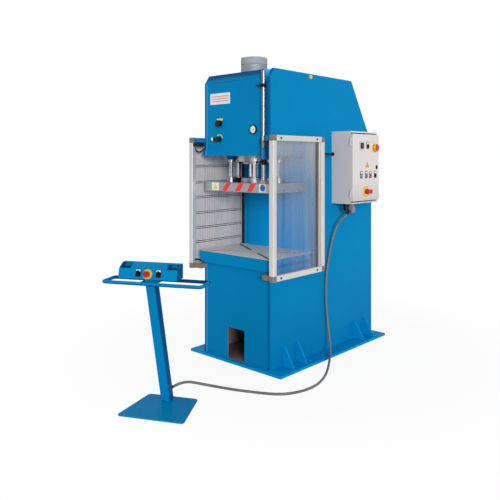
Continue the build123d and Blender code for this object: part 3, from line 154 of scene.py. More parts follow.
# Worked metal, with the marks of the tool stretched along one axis; an oxide layer makes it less metallic
def workedMetal(name, base, shade, roughness, stretch, scale, depth=0.25, metallic=1.0):
    tree = newMaterial(name)
    grain = noiseBand(tree, objectPlace(tree, stretch), scale, 0.3, 0.7, 4.0)
    patch = noiseBand(tree, objectPlace(tree), 7, 0.3, 0.75)
    colour = layeredColour(tree, base, (grain, 1.0, shade), (patch, 0.35, shade))
    gloss = grain, roughness, roughness + 0.1
    metal = skin(tree, colour, gloss, (grain, depth, 0.0002), {"Metallic": metallic})
    addNode(tree, "OutputMaterial", {"Surface": metal})


# Moulded plastic: even colour, a fine spark-eroded grain of about 1.5 mm and a dull or glossy skin
def mouldedPlastic(name, base, shade, roughness, grainSize=0.0015, depth=0.2, shine=0.35, bands=()):
    tree = newMaterial(name)
    plain = objectPlace(tree)
    grain = noiseBand(tree, plain, 1 / grainSize, 0.3, 0.7, 2.0)
    tone = noiseBand(tree, plain, 25, 0.3, 0.7)
    layers = [(placeFactor(tree, *limits), 1.0, tint) for tint, *limits in bands]
    colour = layeredColour(tree, base, (tone, 1.0, shade), *layers)
    gloss, held = (tone, roughness - 0.03, roughness + 0.04), {"IOR": 1.5, "Specular IOR Level": shine}
    plastic = skin(tree, colour, gloss, (grain, depth, 0.0002), held)
    addNode(tree, "OutputMaterial", {"Surface": plastic})


# Tones over stated places: colour, then the limits that placeFactor reads
tones = {
    # painted shade on the head's sloping edge and the side plates' front edges, and the oily inside of the
    # frame
    "chamfer": ("#004C7C", ("Y", -0.6625, -0.6635), ("Z", 2.178, 2.225),
                ("X", 0.3496, 0.3493), ("X", -0.3496, -0.3493)),
    "rightEdge": ("#00659A", ("Y", -0.7080, -0.7085), ("X", 0.3245, 0.3255)),
    "leftEdge": ("#00629A", ("Y", -0.7080, -0.7085), ("X", -0.3310, -0.3330)),
    # a painted highlight beside the left plate's front edge
    "leftGlint": ("#3C97D2", ("Y", -0.7080, -0.7085), ("X", -0.3335, -0.3325), ("X", -0.3180, -0.3200)),
    "inside": ("#7F6E74", ("Y", -0.7040, -0.7030), ("Y", 0.6700, 0.6690), ("Z", 0.746, 0.744),
               ("X", 0.3265, 0.3260), ("X", -0.3265, -0.3260)),
    # painted light in the slot beside the stroke rod, lightening its shade
    "slot": ("#2CC6FF", ("Y", -0.7080, -0.7070), ("Y", -0.600, -0.605), ("X", 0.2415, 0.2425),
             ("X", 0.3265, 0.3260), ("Z", 1.66, 1.67)),
    # painted shade on the cabinet's end towards the operator
    "cabinetEnd": ("#D2CAC7", ("Y", 0.0715, 0.0705)),
    # the lower brackets are a warm cast grey; the right upper one ends in a zinc-plated lug
    # behind a black collar
    "bracketFoot": ("#8B7A6B", ("Z", 1.21, 1.20)),
    "bracketLug": ("#D5CDC9", ("Z", 1.20, 1.21), ("X", 0.28, 0.29), ("X", 0.3465, 0.3455),
                   ("Y", -0.60, -0.61)),
    "bracketCollar": ("#1A1A1D", ("Z", 1.20, 1.21), ("X", 0.3455, 0.3465), ("X", 0.3585, 0.3575),
                      ("Y", -0.60, -0.61)),
    # painted shade on the pedestal's faces towards its right and on the guard ring's underside
    "turnedAway": ("#00558B", ("Normal", (0.8942, 0.4478, 0.0), 0.90, 0.96)),
    # a painted shadow of the console on the guard ring's rear bar
    "ringRear": ("#053F6D", ("Object", (-0.4478, 0.8942, 0.0), -1.640, -1.606)),
    "ringUnder": ("#004A7C", ("Normal", (0.0, 0.0, -1.0), -0.1, 0.6)),
    # a painted highlight on the front of the pressure lever's ball, and the yellow rim of the cabinet's
    # upper red switch
    "leverBall": ("#E9DAD5", ("Y", -0.7330, -0.7380), ("X", -0.2255, -0.2275)),
    "switchRim": ("#F0B81B", ("ROUND", (0.404, 1.668), 0.0300, 0.0308)),
}

# Enamels: colour, second colour, roughness, size of the orange peel, then "low" and tones over places
enamels = {
    # alkyd enamel sprayed on steel plate, a soft gloss that hides the plate's mill skin
    # its "low" is painted shade, darker towards the floor
    "pressEnamel": ("#0087C1", "#0082BA", 0.42, 0.004,
                    {"colour": "#00426A", "between": (0.80, 0.15), "most": 0.22},
                    ("chamfer", "rightEdge", "leftEdge", "leftGlint", "slot", "inside")),
    # painted light: the base plate and the throat's back are painted lighter than the plates above
    "baseLitEnamel": ("#0092D1", "#008CC8", 0.44, 0.004, None, ("inside",)),
    "throatLitEnamel": ("#0A9ADC", "#0694D4", 0.42),
    "bracketEnamel": ("#0082BA", "#007DB3", 0.45, 0.004, None,
                      ("bracketFoot", "bracketLug", "bracketCollar")),
    # the pedestal has a slightly duller coat with a coarser peel
    "pedestalEnamel": ("#0085BE", "#0080B7", 0.46, 0.006, None, ("turnedAway",)),
    "ringEnamel": ("#0085BE", "#0080B7", 0.46, 0.006, None, ("ringRear", "ringUnder")),
    "tankEnamel": ("#0A79AE", "#0870A3", 0.45),  # brushed on, inside the frame
    "motorEnamel": ("#5E666C", "#525A60", 0.5, 0.003),  # dull grey on castings
    "capEnamel": ("#A5ABB1", "#9AA0A6", 0.42),  # pale grey on the turned cylinder cap
    # polyester powder on the cabinet: pale grey, fine even texture; its "low" is painted shade towards its
    # bottom
    "cabinetPowder": ("#E2DEDD", "#DCD8D7", 0.5, 0.0015,
                      {"colour": "#A29D9C", "between": (1.42, 1.22), "most": 0.40}, ("cabinetEnd",)),
}
for name, values in enamels.items():
    sprayedEnamel(name, *values[:5], bands=[tones[tone] for names in values[5:] for tone in names])

# Metals: colour, second colour, roughness, stretch of the marks, their scale and depth, share of metal
metals = {
    "ramPlateSteel": ("#B6B9BD", "#A2A5AA", 0.42, (1.2, 1.2, 14), 28, 0.2, 0.8),  # milled, a little dull
    "strokeSteel": ("#B4AEAB", "#98918F", 0.34, (1, 1, 26), 14, 0.15),  # ground, with an oily film
    "turnedSteel": ("#B5B5B6", "#98989A", 0.24, (1, 1, 30), 18, 0.2),  # bright, with fine turning rings
    "barrelSteel": ("#A6ADB3", "#959CA2", 0.62, (1, 1, 20), 16, 0.2, 0.6),  # rough-turned, matt
    "bushSteel": ("#B9B3A8", "#A29C91", 0.34, (1, 1, 20), 18, 0.2),  # turned bronze, faintly warm
    "zincPlate": ("#C2C2BB", "#AEAEA8", 0.36, (1, 1, 1), 60, 0.1),  # plated, with a cloudy sheen
    "pipeSteel": ("#8F857B", "#7D736A", 0.3, (1, 1, 1), 40, 0.1),  # drawn tube, brownish
    # anodised extruded aluminium: matt, with drawing lines along each bar
    "anodisedPost": ("#E2E0DE", "#D4D2D0", 0.42, (40, 40, 0.8), 8, 0.12, 0.55),
    "anodisedRail": ("#E2E0DE", "#D4D2D0", 0.42, (40, 0.8, 40), 8, 0.12, 0.55),
}
for name, values in metals.items():
    workedMetal(name, *values)

# Plastics, vinyl and other even skins: colour, second colour, roughness, grain size, its depth, shine
plastics = {
    "blackenedSteel": ("#131314", "#1A1817", 0.45, 0.002, 0.2, 0.15),  # oil-blackened, brownish black
    "cornerPolyamide": ("#857C75", "#786F69", 0.55, 0.002),  # glass-filled, dull warm grey
    "blackPolyamide": ("#101012", "#17171A", 0.42, 0.0015, 0.2, 0.2),  # half-matt black
    "phenolicKnob": ("#0A0A0B", "#101011", 0.22, 0.003, 0.05, 0.25),  # glossy black resin
    # the lever: the same resin, with a painted highlight on its ball
    "phenolicLever": ("#0A0A0B", "#101011", 0.22, 0.003, 0.05, 0.25, "leverBall"),
    "redPlastic": ("#C21F26", "#B31B22", 0.24, 0.003, 0.05),  # glossy red of the operators
    "switchPlastic": ("#D42A2B", "#C92426", 0.3, 0.003, 0.05, 0.35, "switchRim"),
    "yellowPlastic": ("#F0C419", "#E6B814", 0.32, 0.003, 0.05),  # glossy signal yellow
    "greenPlastic": ("#1E9C55", "#1A8F4D", 0.22, 0.003, 0.05),  # glossy green
    "elbowGrey": ("#8E9296", "#84888C", 0.5),  # dull grey moulding
    "bezelGrey": ("#CDCDCE", "#C4C4C6", 0.4),  # pale grey moulding
    "deviceGrey": ("#3A3D40", "#44474A", 0.45),  # dark grey moulding
    "whiteVinyl": ("#F1EEEE", "#E9E6E6", 0.35, 0.01, 0.02),  # smooth printed film, as the next ones
    "ruledInk": ("#D99A9C", "#D3898C", 0.4, 0.01, 0.02),
    "yellowVinyl": ("#F2DE3A", "#E9D32F", 0.35, 0.01, 0.02),
    "amberVinyl": ("#D9A61E", "#CF9C18", 0.35, 0.01, 0.02),
    "redVinyl": ("#F8463B", "#EE3E34", 0.35, 0.01, 0.02, 0.15),
    "blueVinyl": ("#1F6FB8", "#1A66AD", 0.35, 0.01, 0.02),
    "dialPaper": ("#FFFBF2", "#FBF6EC", 0.6, 0.01, 0.02, 0.1),  # matt card, a warm white
    "sealRubber": ("#0C0C0D", "#131314", 0.6, 0.002),  # matt black
    "screenBlack": ("#070809", "#0B0C0E", 0.08, 0.01, 0.0),  # polished filter before a display
    "lampLens": ("#8A8E96", "#7E828A", 0.12, 0.003, 0.03),  # unlit clear lens, glossy
}
for name, values in plastics.items():
    mouldedPlastic(name, *values[:6], bands=[tones[tone] for tone in values[6:]])


# Corrugated sheath of the conduit: dull grey plastic over a steel spiral, its rings drawn 9 mm apart
def conduitSheath():
    tree = newMaterial("conduitSheath")
    tone = noiseBand(tree, objectPlace(tree), 18, 0.3, 0.7)
    wave = {"Vector": objectPlace(tree, (0.6, 0.6, 1)), "Scale": 35.0, "Distortion": 0.6}
    rings = addNode(tree, "TexWave", wave, "Fac", wave_type="BANDS", bands_direction="Z")
    colour = layeredColour(tree, "#6C6D70", (tone, 1.0, "#5D5E61"))
    sheath = skin(tree, colour, (tone, 0.34, 0.44), (rings, 0.3, 0.0008), {"IOR": 1.5})
    addNode(tree, "OutputMaterial", {"Surface": sheath})


# Twin-wall polycarbonate sheet: clear, but its upright ribs blur and streak what is behind.
# Ribs are 10 mm apart in the sheet and drawn as 26 mm bands so that they show.
twinWall = {
    "ribPitch": 0.026,
    "solid": (1 - 0.87 ** 0.5, 1 - 0.16 ** 0.5),  # one wall's share: both walls let 87% and 16% through
    "shade": 0.08,  # how much of its own body the panel puts in its shadow
    "right": ("X", 0.0, 0.001),
    # on the right-hand panel: the dark seal behind the rear edge, which also holds painted shade of the gap
    # there, the pale lip on it, and where the sheet grows milky or clearer
    "seal": [("Y", -0.276, -0.262)],
    "lip": [("Y", -0.228, -0.224), ("Y", -0.203, -0.207)],
    "high": [("Z", 1.36, 1.66)],
    "rear": [("Y", -0.44, -0.34)],
    "low": [("Z", 1.22, 0.95)],
    # what each pattern or place adds to the share that doesn't pass, at 0 and at 1
    "milk": {"streaks": (-0.08, 0.12), "ribs": (0.0, 0.26), "high": (0.0, 0.22),
             "rear": (0.0, 0.10), "low": (0.0, -0.06), "seal": (0.0, 0.42)},
}


def twinWallSheet():
    tree = newMaterial("twinWallPolycarbonate")
    wave = {"Vector": objectPlace(tree), "Scale": 2 * math.pi / (20 * twinWall["ribPitch"])}
    wave = addNode(tree, "TexWave", wave, "Fac", wave_type="BANDS", bands_direction="Y")
    ribs = addNode(tree, "MapRange", {"Value": wave, "From Min": 0.6, "From Max": 0.95})
    streaks = noiseBand(tree, objectPlace(tree, (1, 24, 0.22)), 1.6, 0.36, 0.66, 4.0)
    broad = noiseBand(tree, objectPlace(tree, (1, 7, 0.5)), 1.2, 0.3, 0.7, 2.0)
    parts = {"streaks": streaks, "ribs": ribs}
    for name in ("seal", "lip", "high", "rear", "low"):
        parts[name] = placeFactor(tree, *twinWall[name], twinWall["right"])
    isLeft = placeFactor(tree, ("X", 0.001, 0.0))
    rightTint = layeredColour(
        tree, "#FFF8EA", (streaks, 1.0, "#A4C0DE"), (broad, 0.3, "#C4BEBB"), (ribs, 0.62, "#343846"),
        (parts["seal"], 1.0, "#5E524D"), (parts["lip"], 1.0, "#E4DCD2"),
    )
    leftTint = layeredColour(tree, "#DAD6D6", (broad, 1.0, "#CAC6C8"), (ribs, 0.5, "#77757A"))
    body = addNode(tree, "BsdfPrincipled", {
        "Base Color": layeredColour(tree, rightTint, (isLeft, 1.0, leftTint)),
        "Roughness": 0.3,
        "IOR": 1.58,
        "Specular IOR Level": 0.15,
        "Normal": addNode(tree, "Bump", {"Height": ribs, "Strength": 0.35, "Distance": 0.001}),
    })
    clearTint = layeredColour(tree, "#F6FAFF", (isLeft, 1.0, "#EDEDEE"))
    through = addNode(tree, "BsdfTransparent", {"Color": clearTint})
    clear, smoked = twinWall["solid"]
    share = addNode(tree, "MapRange", {"Value": isLeft, "To Min": clear, "To Max": smoked})
    for name, (least, most) in twinWall["milk"].items():
        part = addNode(tree, "MapRange", {"Value": parts[name], "To Min": least, "To Max": most})
        share = addNode(tree, "Math", {0: share, 1: part}, operation="ADD")
    shadow = addNode(tree, "LightPath", {}, "Is Shadow Ray")
    shade = {"Value": shadow, "To Min": 1.0, "To Max": twinWall["shade"]}
    shadow = addNode(tree, "MapRange", shade)
    share = addNode(tree, "Math", {0: share, 1: shadow}, operation="MULTIPLY")
    mix = addNode(tree, "MixShader", {0: share, 1: through, 2: body})
    addNode(tree, "OutputMaterial", {"Surface": mix})


# Hard-chromed and polished rods, nearly mirrors; their foot flanges are plain turned steel
rods = {"flangeTop": 1.4268, "chrome": "#DDDDE0", "chromeShade": "#C9C9CC", "flange": "#A4A7AB"}


def chromedFinish():
    tree = newMaterial("chromedRod")
    isFlange = placeFactor(tree, ("Z", rods["flangeTop"], rods["flangeTop"] - 0.0004))
    grain = noiseBand(tree, objectPlace(tree, (1, 1, 8)), 12, 0.3, 0.7)
    layers = (grain, 0.5, rods["chromeShade"]), (isFlange, 1.0, rods["flange"])
    colour = layeredColour(tree, rods["chrome"], *layers)
    chrome = skin(tree, colour, (isFlange, 0.08, 0.4), (grain, 0.03, 0.0002), {"Metallic": 1.0})
    addNode(tree, "OutputMaterial", {"Surface": chrome})


# The table: a ground top, whose wheel marks run along it a few millimetres apart so that they show,
# slots painted dark as painted shade, and blue enamel on the front and the sloping ends
table = {
    "top": ("Z", 0.8354, 0.8355),
    "slots": [("X", -0.3863, -0.3862), ("X", 0.3863, 0.3862), ("Y", -0.7386, -0.7385),
              ("Z", 0.7949, 0.795)],
    "grain": (1.2, 12, 1.2),
    "tableSlotShade": "#3A3937",
}


def tableFinish():
    tree = newMaterial("groundPlate")
    grain = noiseBand(tree, objectPlace(tree, table["grain"]), 30, 0.3, 0.7, 4.0)
    patch = noiseBand(tree, objectPlace(tree), 6, 0.3, 0.75)
    ground = layeredColour(tree, "#F2EAE1", (grain, 1.0, "#E2DAD0"), (patch, 0.35, "#C8C2BB"))
    top = placeFactor(tree, table["top"])
    metallic = addNode(tree, "MapRange", {"Value": top, "To Min": 0.0, "To Max": 0.15})
    colour = layeredColour(tree, table["tableSlotShade"], (top, 1.0, ground))
    steel = skin(tree, colour, (grain, 0.62, 0.7), (grain, 0.2, 0.0002), {"Metallic": metallic})
    tone = noiseBand(tree, objectPlace(tree), 1.6, 0.3, 0.7)
    base, shade, roughness = enamels["pressEnamel"][:3]
    paint = addNode(tree, "BsdfPrincipled", {
        "Base Color": layeredColour(tree, base, (tone, 1.0, shade)),
        "Roughness": roughness,
        "Specular IOR Level": 0.03,
    })
    slots = placeFactor(tree, *table["slots"])
    bare = addNode(tree, "Math", {0: top, 1: slots}, operation="MAXIMUM")
    mix = addNode(tree, "MixShader", {0: bare, 1: paint, 2: steel})
    addNode(tree, "OutputMaterial", {"Surface": mix})


# Cast clear glass over dials: thin, with a sharp reflection, and casting no shadow
def clearGlass():
    tree = newMaterial("clearGlass")
    gloss = addNode(tree, "BsdfPrincipled", {"Base Color": "#FFFFFF", "Roughness": 0.04, "IOR": 1.5})
    through = addNode(tree, "BsdfTransparent", {})
    edge = addNode(tree, "Fresnel", {"IOR": 1.45})
    shadow = addNode(tree, "LightPath", {}, "Is Shadow Ray")
    lit = addNode(tree, "Math", {0: 1.0, 1: shadow}, operation="SUBTRACT")
    edge = addNode(tree, "Math", {0: edge, 1: lit}, operation="MULTIPLY")
    mix = addNode(tree, "MixShader", {0: edge, 1: through, 2: gloss})
    addNode(tree, "OutputMaterial", {"Surface": mix})


conduitSheath()
twinWallSheet()
tableFinish()
chromedFinish()
clearGlass()
print("materials made")

nodeFinish = {
    "pressEnamel": [
        "right_side_plate", "left_side_plate", "lower_front_panel", "head_floor_plate",
        "head_front_cover", "head_top_cover", "rear_cover",
    ],
    "baseLitEnamel": ["base_plate"],
    "throatLitEnamel": ["throat_back_plate"],
    "bracketEnamel": ["guard_brackets"],
    "pedestalEnamel": ["pedestal_foot", "pedestal_column", "console_housing"],
    "ringEnamel": ["pedestal_ring"],
    "groundPlate": ["table_plate"],
    "ramPlateSteel": ["ram_plate"],
    "turnedSteel": ["gland_flange"],
    "barrelSteel": ["cylinder_barrel"],
    "capEnamel": ["cylinder_cap"],
    "chromedRod": ["piston_rod", "guide_columns"],
    "strokeSteel": ["stroke_rod"],
    "bushSteel": ["guide_bushes"],
    "zincPlate": ["valve_block", "cabinet_plate"],
    "blackenedSteel": [
        "upper_stop", "lower_stop", "upper_lever", "lower_lever", "guard_latch", "guard_bolts",
        "gauge_case", "gauge_needle",
    ],
    "phenolicKnob": ["speed_knob"],
    "phenolicLever": ["pressure_lever"],
    "yellowPlastic": ["filler_plug"],
    "tankEnamel": ["oil_tank"],
    "motorEnamel": ["pump_motor"],
    "anodisedPost": ["guard_posts"],
    "anodisedRail": ["guard_rails"],
    "cornerPolyamide": ["guard_corners"],
    "twinWallPolycarbonate": ["guard_panels"],
    "cabinetPowder": ["cabinet_box", "cabinet_door"],
    "bezelGrey": ["display_module"],
    "redPlastic": ["stop_button", "main_switch", "console_estop"],
    "switchPlastic": ["door_estop"],
    "greenPlastic": ["start_button"],
    "blackPolyamide": [
        "mode_selector", "lever_selector", "door_lock", "cable_gland", "left_palm_button",
        "right_palm_button", "left_selector", "right_selector",
    ],
    "elbowGrey": ["conduit_elbow"],
}
for material, names in nodeFinish.items():
    for name in names:
        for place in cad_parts[name].material_slots:
            place.material = bpy.data.materials[material]


# Puts points and faces into a mesh, merges doubles, turns the faces outwards and lets it ride a
# body, which is the press unless a call names another
def makePiece(name, points, faces, material, body, smooth=None):
    mesh = bpy.data.meshes.new(name)
    mesh.from_pydata(np.asarray(points).tolist(), [], faces)
    work = bmesh.new()
    work.from_mesh(mesh)
    bmesh.ops.remove_doubles(work, verts=work.verts, dist=1e-6)
    bmesh.ops.recalc_face_normals(work, faces=work.faces)
    work.to_mesh(mesh)
    work.free()
    mesh.materials.append(bpy.data.materials[material])
    if smooth:
        mesh.polygons.foreach_set("use_smooth", [True] * len(mesh.polygons))
        mesh.set_sharp_from_angle(angle=math.radians(smooth))
    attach(addObject(name, mesh), body)


# Quads of a grid whose rows follow each other; the columns close on themselves
def gridFaces(rows, columns, start=0):
    row = np.arange(rows - 1)[:, None] * columns
    column = np.arange(columns)
    after = (column + 1) % columns
    corners = [row + column, row + after, row + columns + after, row + columns + column]
    return (np.stack([corner.ravel() for corner in corners], 1) + start).tolist()


up, down, right, forward, rearward = (0, 0, 1), (0, 0, -1), (1, 0, 0), (0, -1, 0), (0, 1, 0)
frontPlane = right, up  # faces the operator
doorPlane = rearward, up  # faces right, as the cabinet door does
filmThickness, filmBevel = 0.0012, 0.0004  # label stock


def unit(vector):
    vector = np.asarray(vector, float)
    return vector / np.linalg.norm(vector, axis=-1, keepdims=True)


# Points round a circle, from angle 0 or a set start, as (cosine, sine)
def circle(count, start=0.0):
    t = np.linspace(0, 2 * math.pi, count, endpoint=False) + start
    return np.stack([np.cos(t), np.sin(t)], 1)


# Points along an arc between two angles in degrees, both ends included
def arc(first, last, count):
    t = np.radians(np.linspace(first, last, count))
    return np.stack([np.cos(t), np.sin(t)], 1)


# Surface of revolution: each profile point (radius, height) goes round the axis, so that
# point = height * axis + radius * (cos t * side + sin t * other side)
def turnedPoints(profile, axis, segments):
    axis = unit(axis)
    side = unit(np.cross(axis, up if abs(axis[2]) < 0.9 else right))
    ring = circle(segments) @ np.stack([side, np.cross(axis, side)])
    profile = np.asarray(profile, float)
    return (profile[:, None, 1:] * axis + profile[:, None, :1] * ring[None]).reshape(-1, 3)


# The same turned profile at one or many places, as one mesh
def turnedField(name, profile, origins, axis, material, body="press", segments=40, smooth=35):
    single = turnedPoints(profile, axis, segments)
    points = (np.asarray(origins, float)[:, None, :] + single[None]).reshape(-1, 3)
    faces = []
    for index in range(len(origins)):
        faces += gridFaces(len(profile), segments, index * len(single))
    makePiece(name, points, faces, material, body, smooth)


# Flat plates of one thickness in one mesh: each outline (x, y) lies in a plane given by two
# directions, is carried up its normal from its origin, and is drawn in by the bevel at its upper rim
def plateField(name, plates, plane, thickness, bevel, material, body="press"):
    xAxis, yAxis = (unit(direction) for direction in plane)
    points, faces, start = [], [], 0
    for outline, origin in plates:
        outline = np.asarray(outline, float)
        middle = outline.mean(0)
        reach = np.linalg.norm(outline - middle, axis=1, keepdims=True)
        inner = middle + (outline - middle) * (1 - bevel / reach)
        for flat, height in ((outline, 0.0), (outline, thickness - bevel), (inner, thickness)):
            points.append(origin + flat @ np.stack([xAxis, yAxis]) + height * np.cross(xAxis, yAxis))
        count = len(outline)
        faces += gridFaces(3, count, start)
        faces.append([start + count - 1 - i for i in range(count)])
        faces.append([start + 2 * count + i for i in range(count)])
        start += 3 * count
    makePiece(name, np.concatenate(points), faces, material, body)


# Rectangle with round corners: four quarter circles of one radius joined by straight sides
def roundedRectangle(width, height, radius, steps=5):
    corners = []
    for turn, (x, y) in enumerate(((1, 1), (-1, 1), (-1, -1), (1, -1))):
        corner = (x * (width / 2 - radius), y * (height / 2 - radius))
        corners.append(corner + radius * arc(90 * turn, 90 * turn + 90, steps))
    return np.concatenate(corners)


# Triangle with round corners: three arcs joined by straight sides
def roundedTriangle(side, radius, steps=5):
    height = side * math.sqrt(3) / 2
    outline = []
    corners = (side / 2, -height / 3), (0, 2 * height / 3), (-side / 2, -height / 3)
    for (x, y), heading in zip(corners, (-90, 30, 150)):
        pull = np.array([x, y]) * (1 - 2 * radius / math.hypot(x, y))
        outline.append(pull + radius * arc(heading, heading + 120, steps))
    return np.concatenate(outline)


# Flat strip along an arc: two radii in the plane that faces the operator, and two depths behind it
def arcPiece(name, centre, way, inner, outer, depths, material, body="press"):
    rim = np.concatenate([way * outer, way[::-1] * inner])
    points = [centre + rim @ np.array(frontPlane) - (0, depth, 0) for depth in depths]
    half = len(way)
    strip = [[i, i + 1, 2 * half - 2 - i, 2 * half - 1 - i] for i in range(half - 1)]
    upper = [[corner + 2 * half for corner in quad] for quad in strip]
    makePiece(name, np.concatenate(points), gridFaces(2, 2 * half) + strip + upper, material, body)


# Smooth line through a few points: uniform quadratic B-spline, with its ends held by doubled points
def smoothLine(points, steps=8):
    points = np.asarray(points, float)
    points = np.concatenate([points[:1] * 2 - points[1:2], points, points[-1:] * 2 - points[-2:-1]])
    t = np.linspace(0, 1, steps, endpoint=False)[:, None]
    a, b, c = points[:-2, None], points[1:-1, None], points[2:, None]
    curve = 0.5 * (1 - t) ** 2 * a + (0.5 + t - t ** 2) * b + 0.5 * t ** 2 * c
    return np.concatenate([curve.reshape(-1, 3), 0.5 * (points[-2:-1] + points[-1:])])


# Round tubes in one mesh: at each point of a line stands a circle across its direction
def tubeField(name, lines, radius, material, segments, reference):
    points, faces, start = [], [], 0
    for line in lines:
        line = np.asarray(line, float)
        heading = unit(np.gradient(line, axis=0))
        side = unit(np.cross(heading, reference))
        across = np.stack([side, np.cross(heading, side)], 1)
        points.append((line[:, None] + radius * (circle(segments) @ across)).reshape(-1, 3))
        last = start + (len(line) - 1) * segments
        faces += gridFaces(len(line), segments, start)
        faces.append([start + segments - 1 - i for i in range(segments)])
        faces.append([last + i for i in range(segments)])
        start = last + segments
    makePiece(name, np.concatenate(points), faces, material, "press", 40)


# Conduit from the cabinet to the pedestal: the same points as the CAD route, in metres
conduit = {
    "points": [
        (0.455, 0.165, 1.1330), (0.430, 0.108, 1.0890), (0.412, 0.060, 1.0310),
        (0.395, 0.032, 0.9639), (0.380, 0.004, 0.8449), (0.373, -0.019, 0.7236),
        (0.372, -0.038, 0.6482), (0.372, -0.045, 0.5584), (0.374, -0.048, 0.4958),
        (0.377, -0.050, 0.3838), (0.386, -0.043, 0.2665), (0.410, -0.057, 0.1543),
        (0.450, -0.090, 0.0471), (0.547, -0.241, 0.0140), (0.669, -0.448, 0.0094),
        (0.737, -0.620, 0.0094), (0.752, -0.764, 0.0094), (0.716, -0.899, 0.0094),
        (0.652, -0.982, 0.0094), (0.539, -1.046, 0.0094), (0.374, -1.121, 0.0094),
        (0.206, -1.177, 0.0105), (0.161, -1.257, 0.0380), (0.154, -1.319, 0.0620),
        (0.160, -1.379, 0.0760), (0.159, -1.437, 0.0760), (0.148, -1.487, 0.0630),
    ],
    "diameter": 0.018,
    "length": 2.969,
}
curve = bpy.data.curves.new("conduitSheath", "CURVE")
curve.dimensions = "3D"
spline = curve.splines.new("NURBS")
spline.points.add(len(conduit["points"]) - 1)
for point, place in zip(spline.points, conduit["points"]):
    point.co = (*place, 1)
spline.order_u = 3
spline.use_endpoint_u = True
spline.resolution_u = 12
curve.bevel_depth = conduit["diameter"] / 2
curve.bevel_resolution = 5
curve.use_fill_caps = True
curve.materials.append(bpy.data.materials["conduitSheath"])
conduitPiece = addObject("conduitSheath", curve)
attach(conduitPiece, "press")
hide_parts("conduit")
print("conduit laid")

# Screwed glands at both ends of the conduit: a twelve-sided clamp nut and a tapered sleeve over it
gland = {
    "sunk": 0.012,  # how far the nut's seat lies behind the end of the conduit
    "nut": [(0.009, -0.001), (0.0152, -0.001), (0.0152, 0.009), (0.0132, 0.011), (0.009, 0.011)],
    "sleeve": [(0.0092, 0.010), (0.0135, 0.010), (0.0125, 0.016), (0.0108, 0.034), (0.0096, 0.040),
               (0.0092, 0.040)],
}
for name, end, towards in (("cabinetGland", 0, 1), ("pedestalGland", -1, -2)):
    start = np.asarray(conduit["points"][end])
    heading = unit(conduit["points"][towards] - start)
    origins = [start - heading * gland["sunk"]]
    turnedField(name + "Nut", gland["nut"], origins, heading, "blackPolyamide", "press", 12, 20)
    turnedField(name + "Sleeve", gland["sleeve"], origins, heading, "blackPolyamide", "press", 28)

# Plates on the head's front cover: a bare white plate with plain ruled bars, and the knobs' scales
head = {
    "face": -0.710,
    "plateX": (-0.284, -0.063), "plateZ": (2.006, 2.093),
    "bars": (0.72, 0.5, 0.28), "barSize": (0.84, 0.085),  # as shares of the plate's width and height
    "strip": (-0.1765, 1.885), "stripSize": (0.066, 0.017),
    "scale": (-0.180, 1.730), "scaleRadii": (0.031, 0.038),
    "scaleThickness": 0.0009,
}
width, height = np.ptp(head["plateX"]), np.ptp(head["plateZ"])
middleX, bottom = sum(head["plateX"]) / 2, head["plateZ"][0]
card = [(roundedRectangle(width, height, 0.004), (middleX, head["face"], sum(head["plateZ"]) / 2))]
plateField("headPlate", card, frontPlane, filmThickness, filmBevel, "whiteVinyl")
bar = roundedRectangle(width * head["barSize"][0], height * head["barSize"][1], 0.001, 3)
barFace = head["face"] - filmThickness
barField = [(bar, (middleX, barFace, bottom + share * height)) for share in head["bars"]]
plateField("headPlateBars", barField, frontPlane, 0.0003, 0.0001, "ruledInk")
strip = [(roundedRectangle(*head["stripSize"], 0.002), (head["strip"][0], head["face"], head["strip"][1]))]
plateField("speedScale", strip, frontPlane, head["scaleThickness"], 0.0003, "yellowVinyl")
arcPiece(
    "pressureScale", (head["scale"][0], head["face"], head["scale"][1]), arc(8, 172, 40),
    *head["scaleRadii"], (0.0, head["scaleThickness"]), "yellowVinyl",
)

# Markings on the ram's front edge: three slanted red bars and two white plates with plain shapes
ram = {
    "face": -0.699,
    "z": (1.3235, 1.3870),
    "bars": ((-0.166, -0.061), (-0.022, 0.075), (0.104, 0.201)),
    "barWidth": 0.053,
    "plates": ((-0.278, -0.197), (0.232, 0.303)),
    "plateHeight": 0.062,
    "plateThickness": 0.0008,
    "triangle": (-0.2375, 1.350), "disc": (0.2675, 1.357),
    "sensor": (-0.125, -0.560, 1.388),
}
low, high = ram["z"]
barField = []
for start, end in ram["bars"]:
    lean = (end - start) - ram["barWidth"]
    outline = [(0, 0), (ram["barWidth"], 0), (end - start, high - low), (lean, high - low)]
    barField.append((outline, (start, ram["face"], low)))
plateField("ramRedBars", barField, frontPlane, 0.0005, 0.0002, "redVinyl", "ram")
whiteField = [
    (roundedRectangle(end - start, ram["plateHeight"], 0.003),
     ((start + end) / 2, ram["face"], (low + high) / 2))
    for start, end in ram["plates"]
]
plateField("ramWhitePlates", whiteField, frontPlane, ram["plateThickness"], 0.0003, "whiteVinyl", "ram")
for name, outline, (x, z), material in (
    ("ramTriangle", roundedTriangle(0.050, 0.003), ram["triangle"], "yellowVinyl"),
    ("ramDisc", circle(40) * 0.025, ram["disc"], "blueVinyl"),
):
    place = (x, ram["face"] - ram["plateThickness"], z)
    plateField(name, [(outline, place)], frontPlane, 0.0004, 0.0001, material, "ram")
# Small black sensor block on the ram, by the left columns
plateField(
    "ramSensor", [(roundedRectangle(0.034, 0.050, 0.003), ram["sensor"])], (right, rearward),
    0.038, 0.003, "blackPolyamide", "ram",
)
print("head and ram marked")

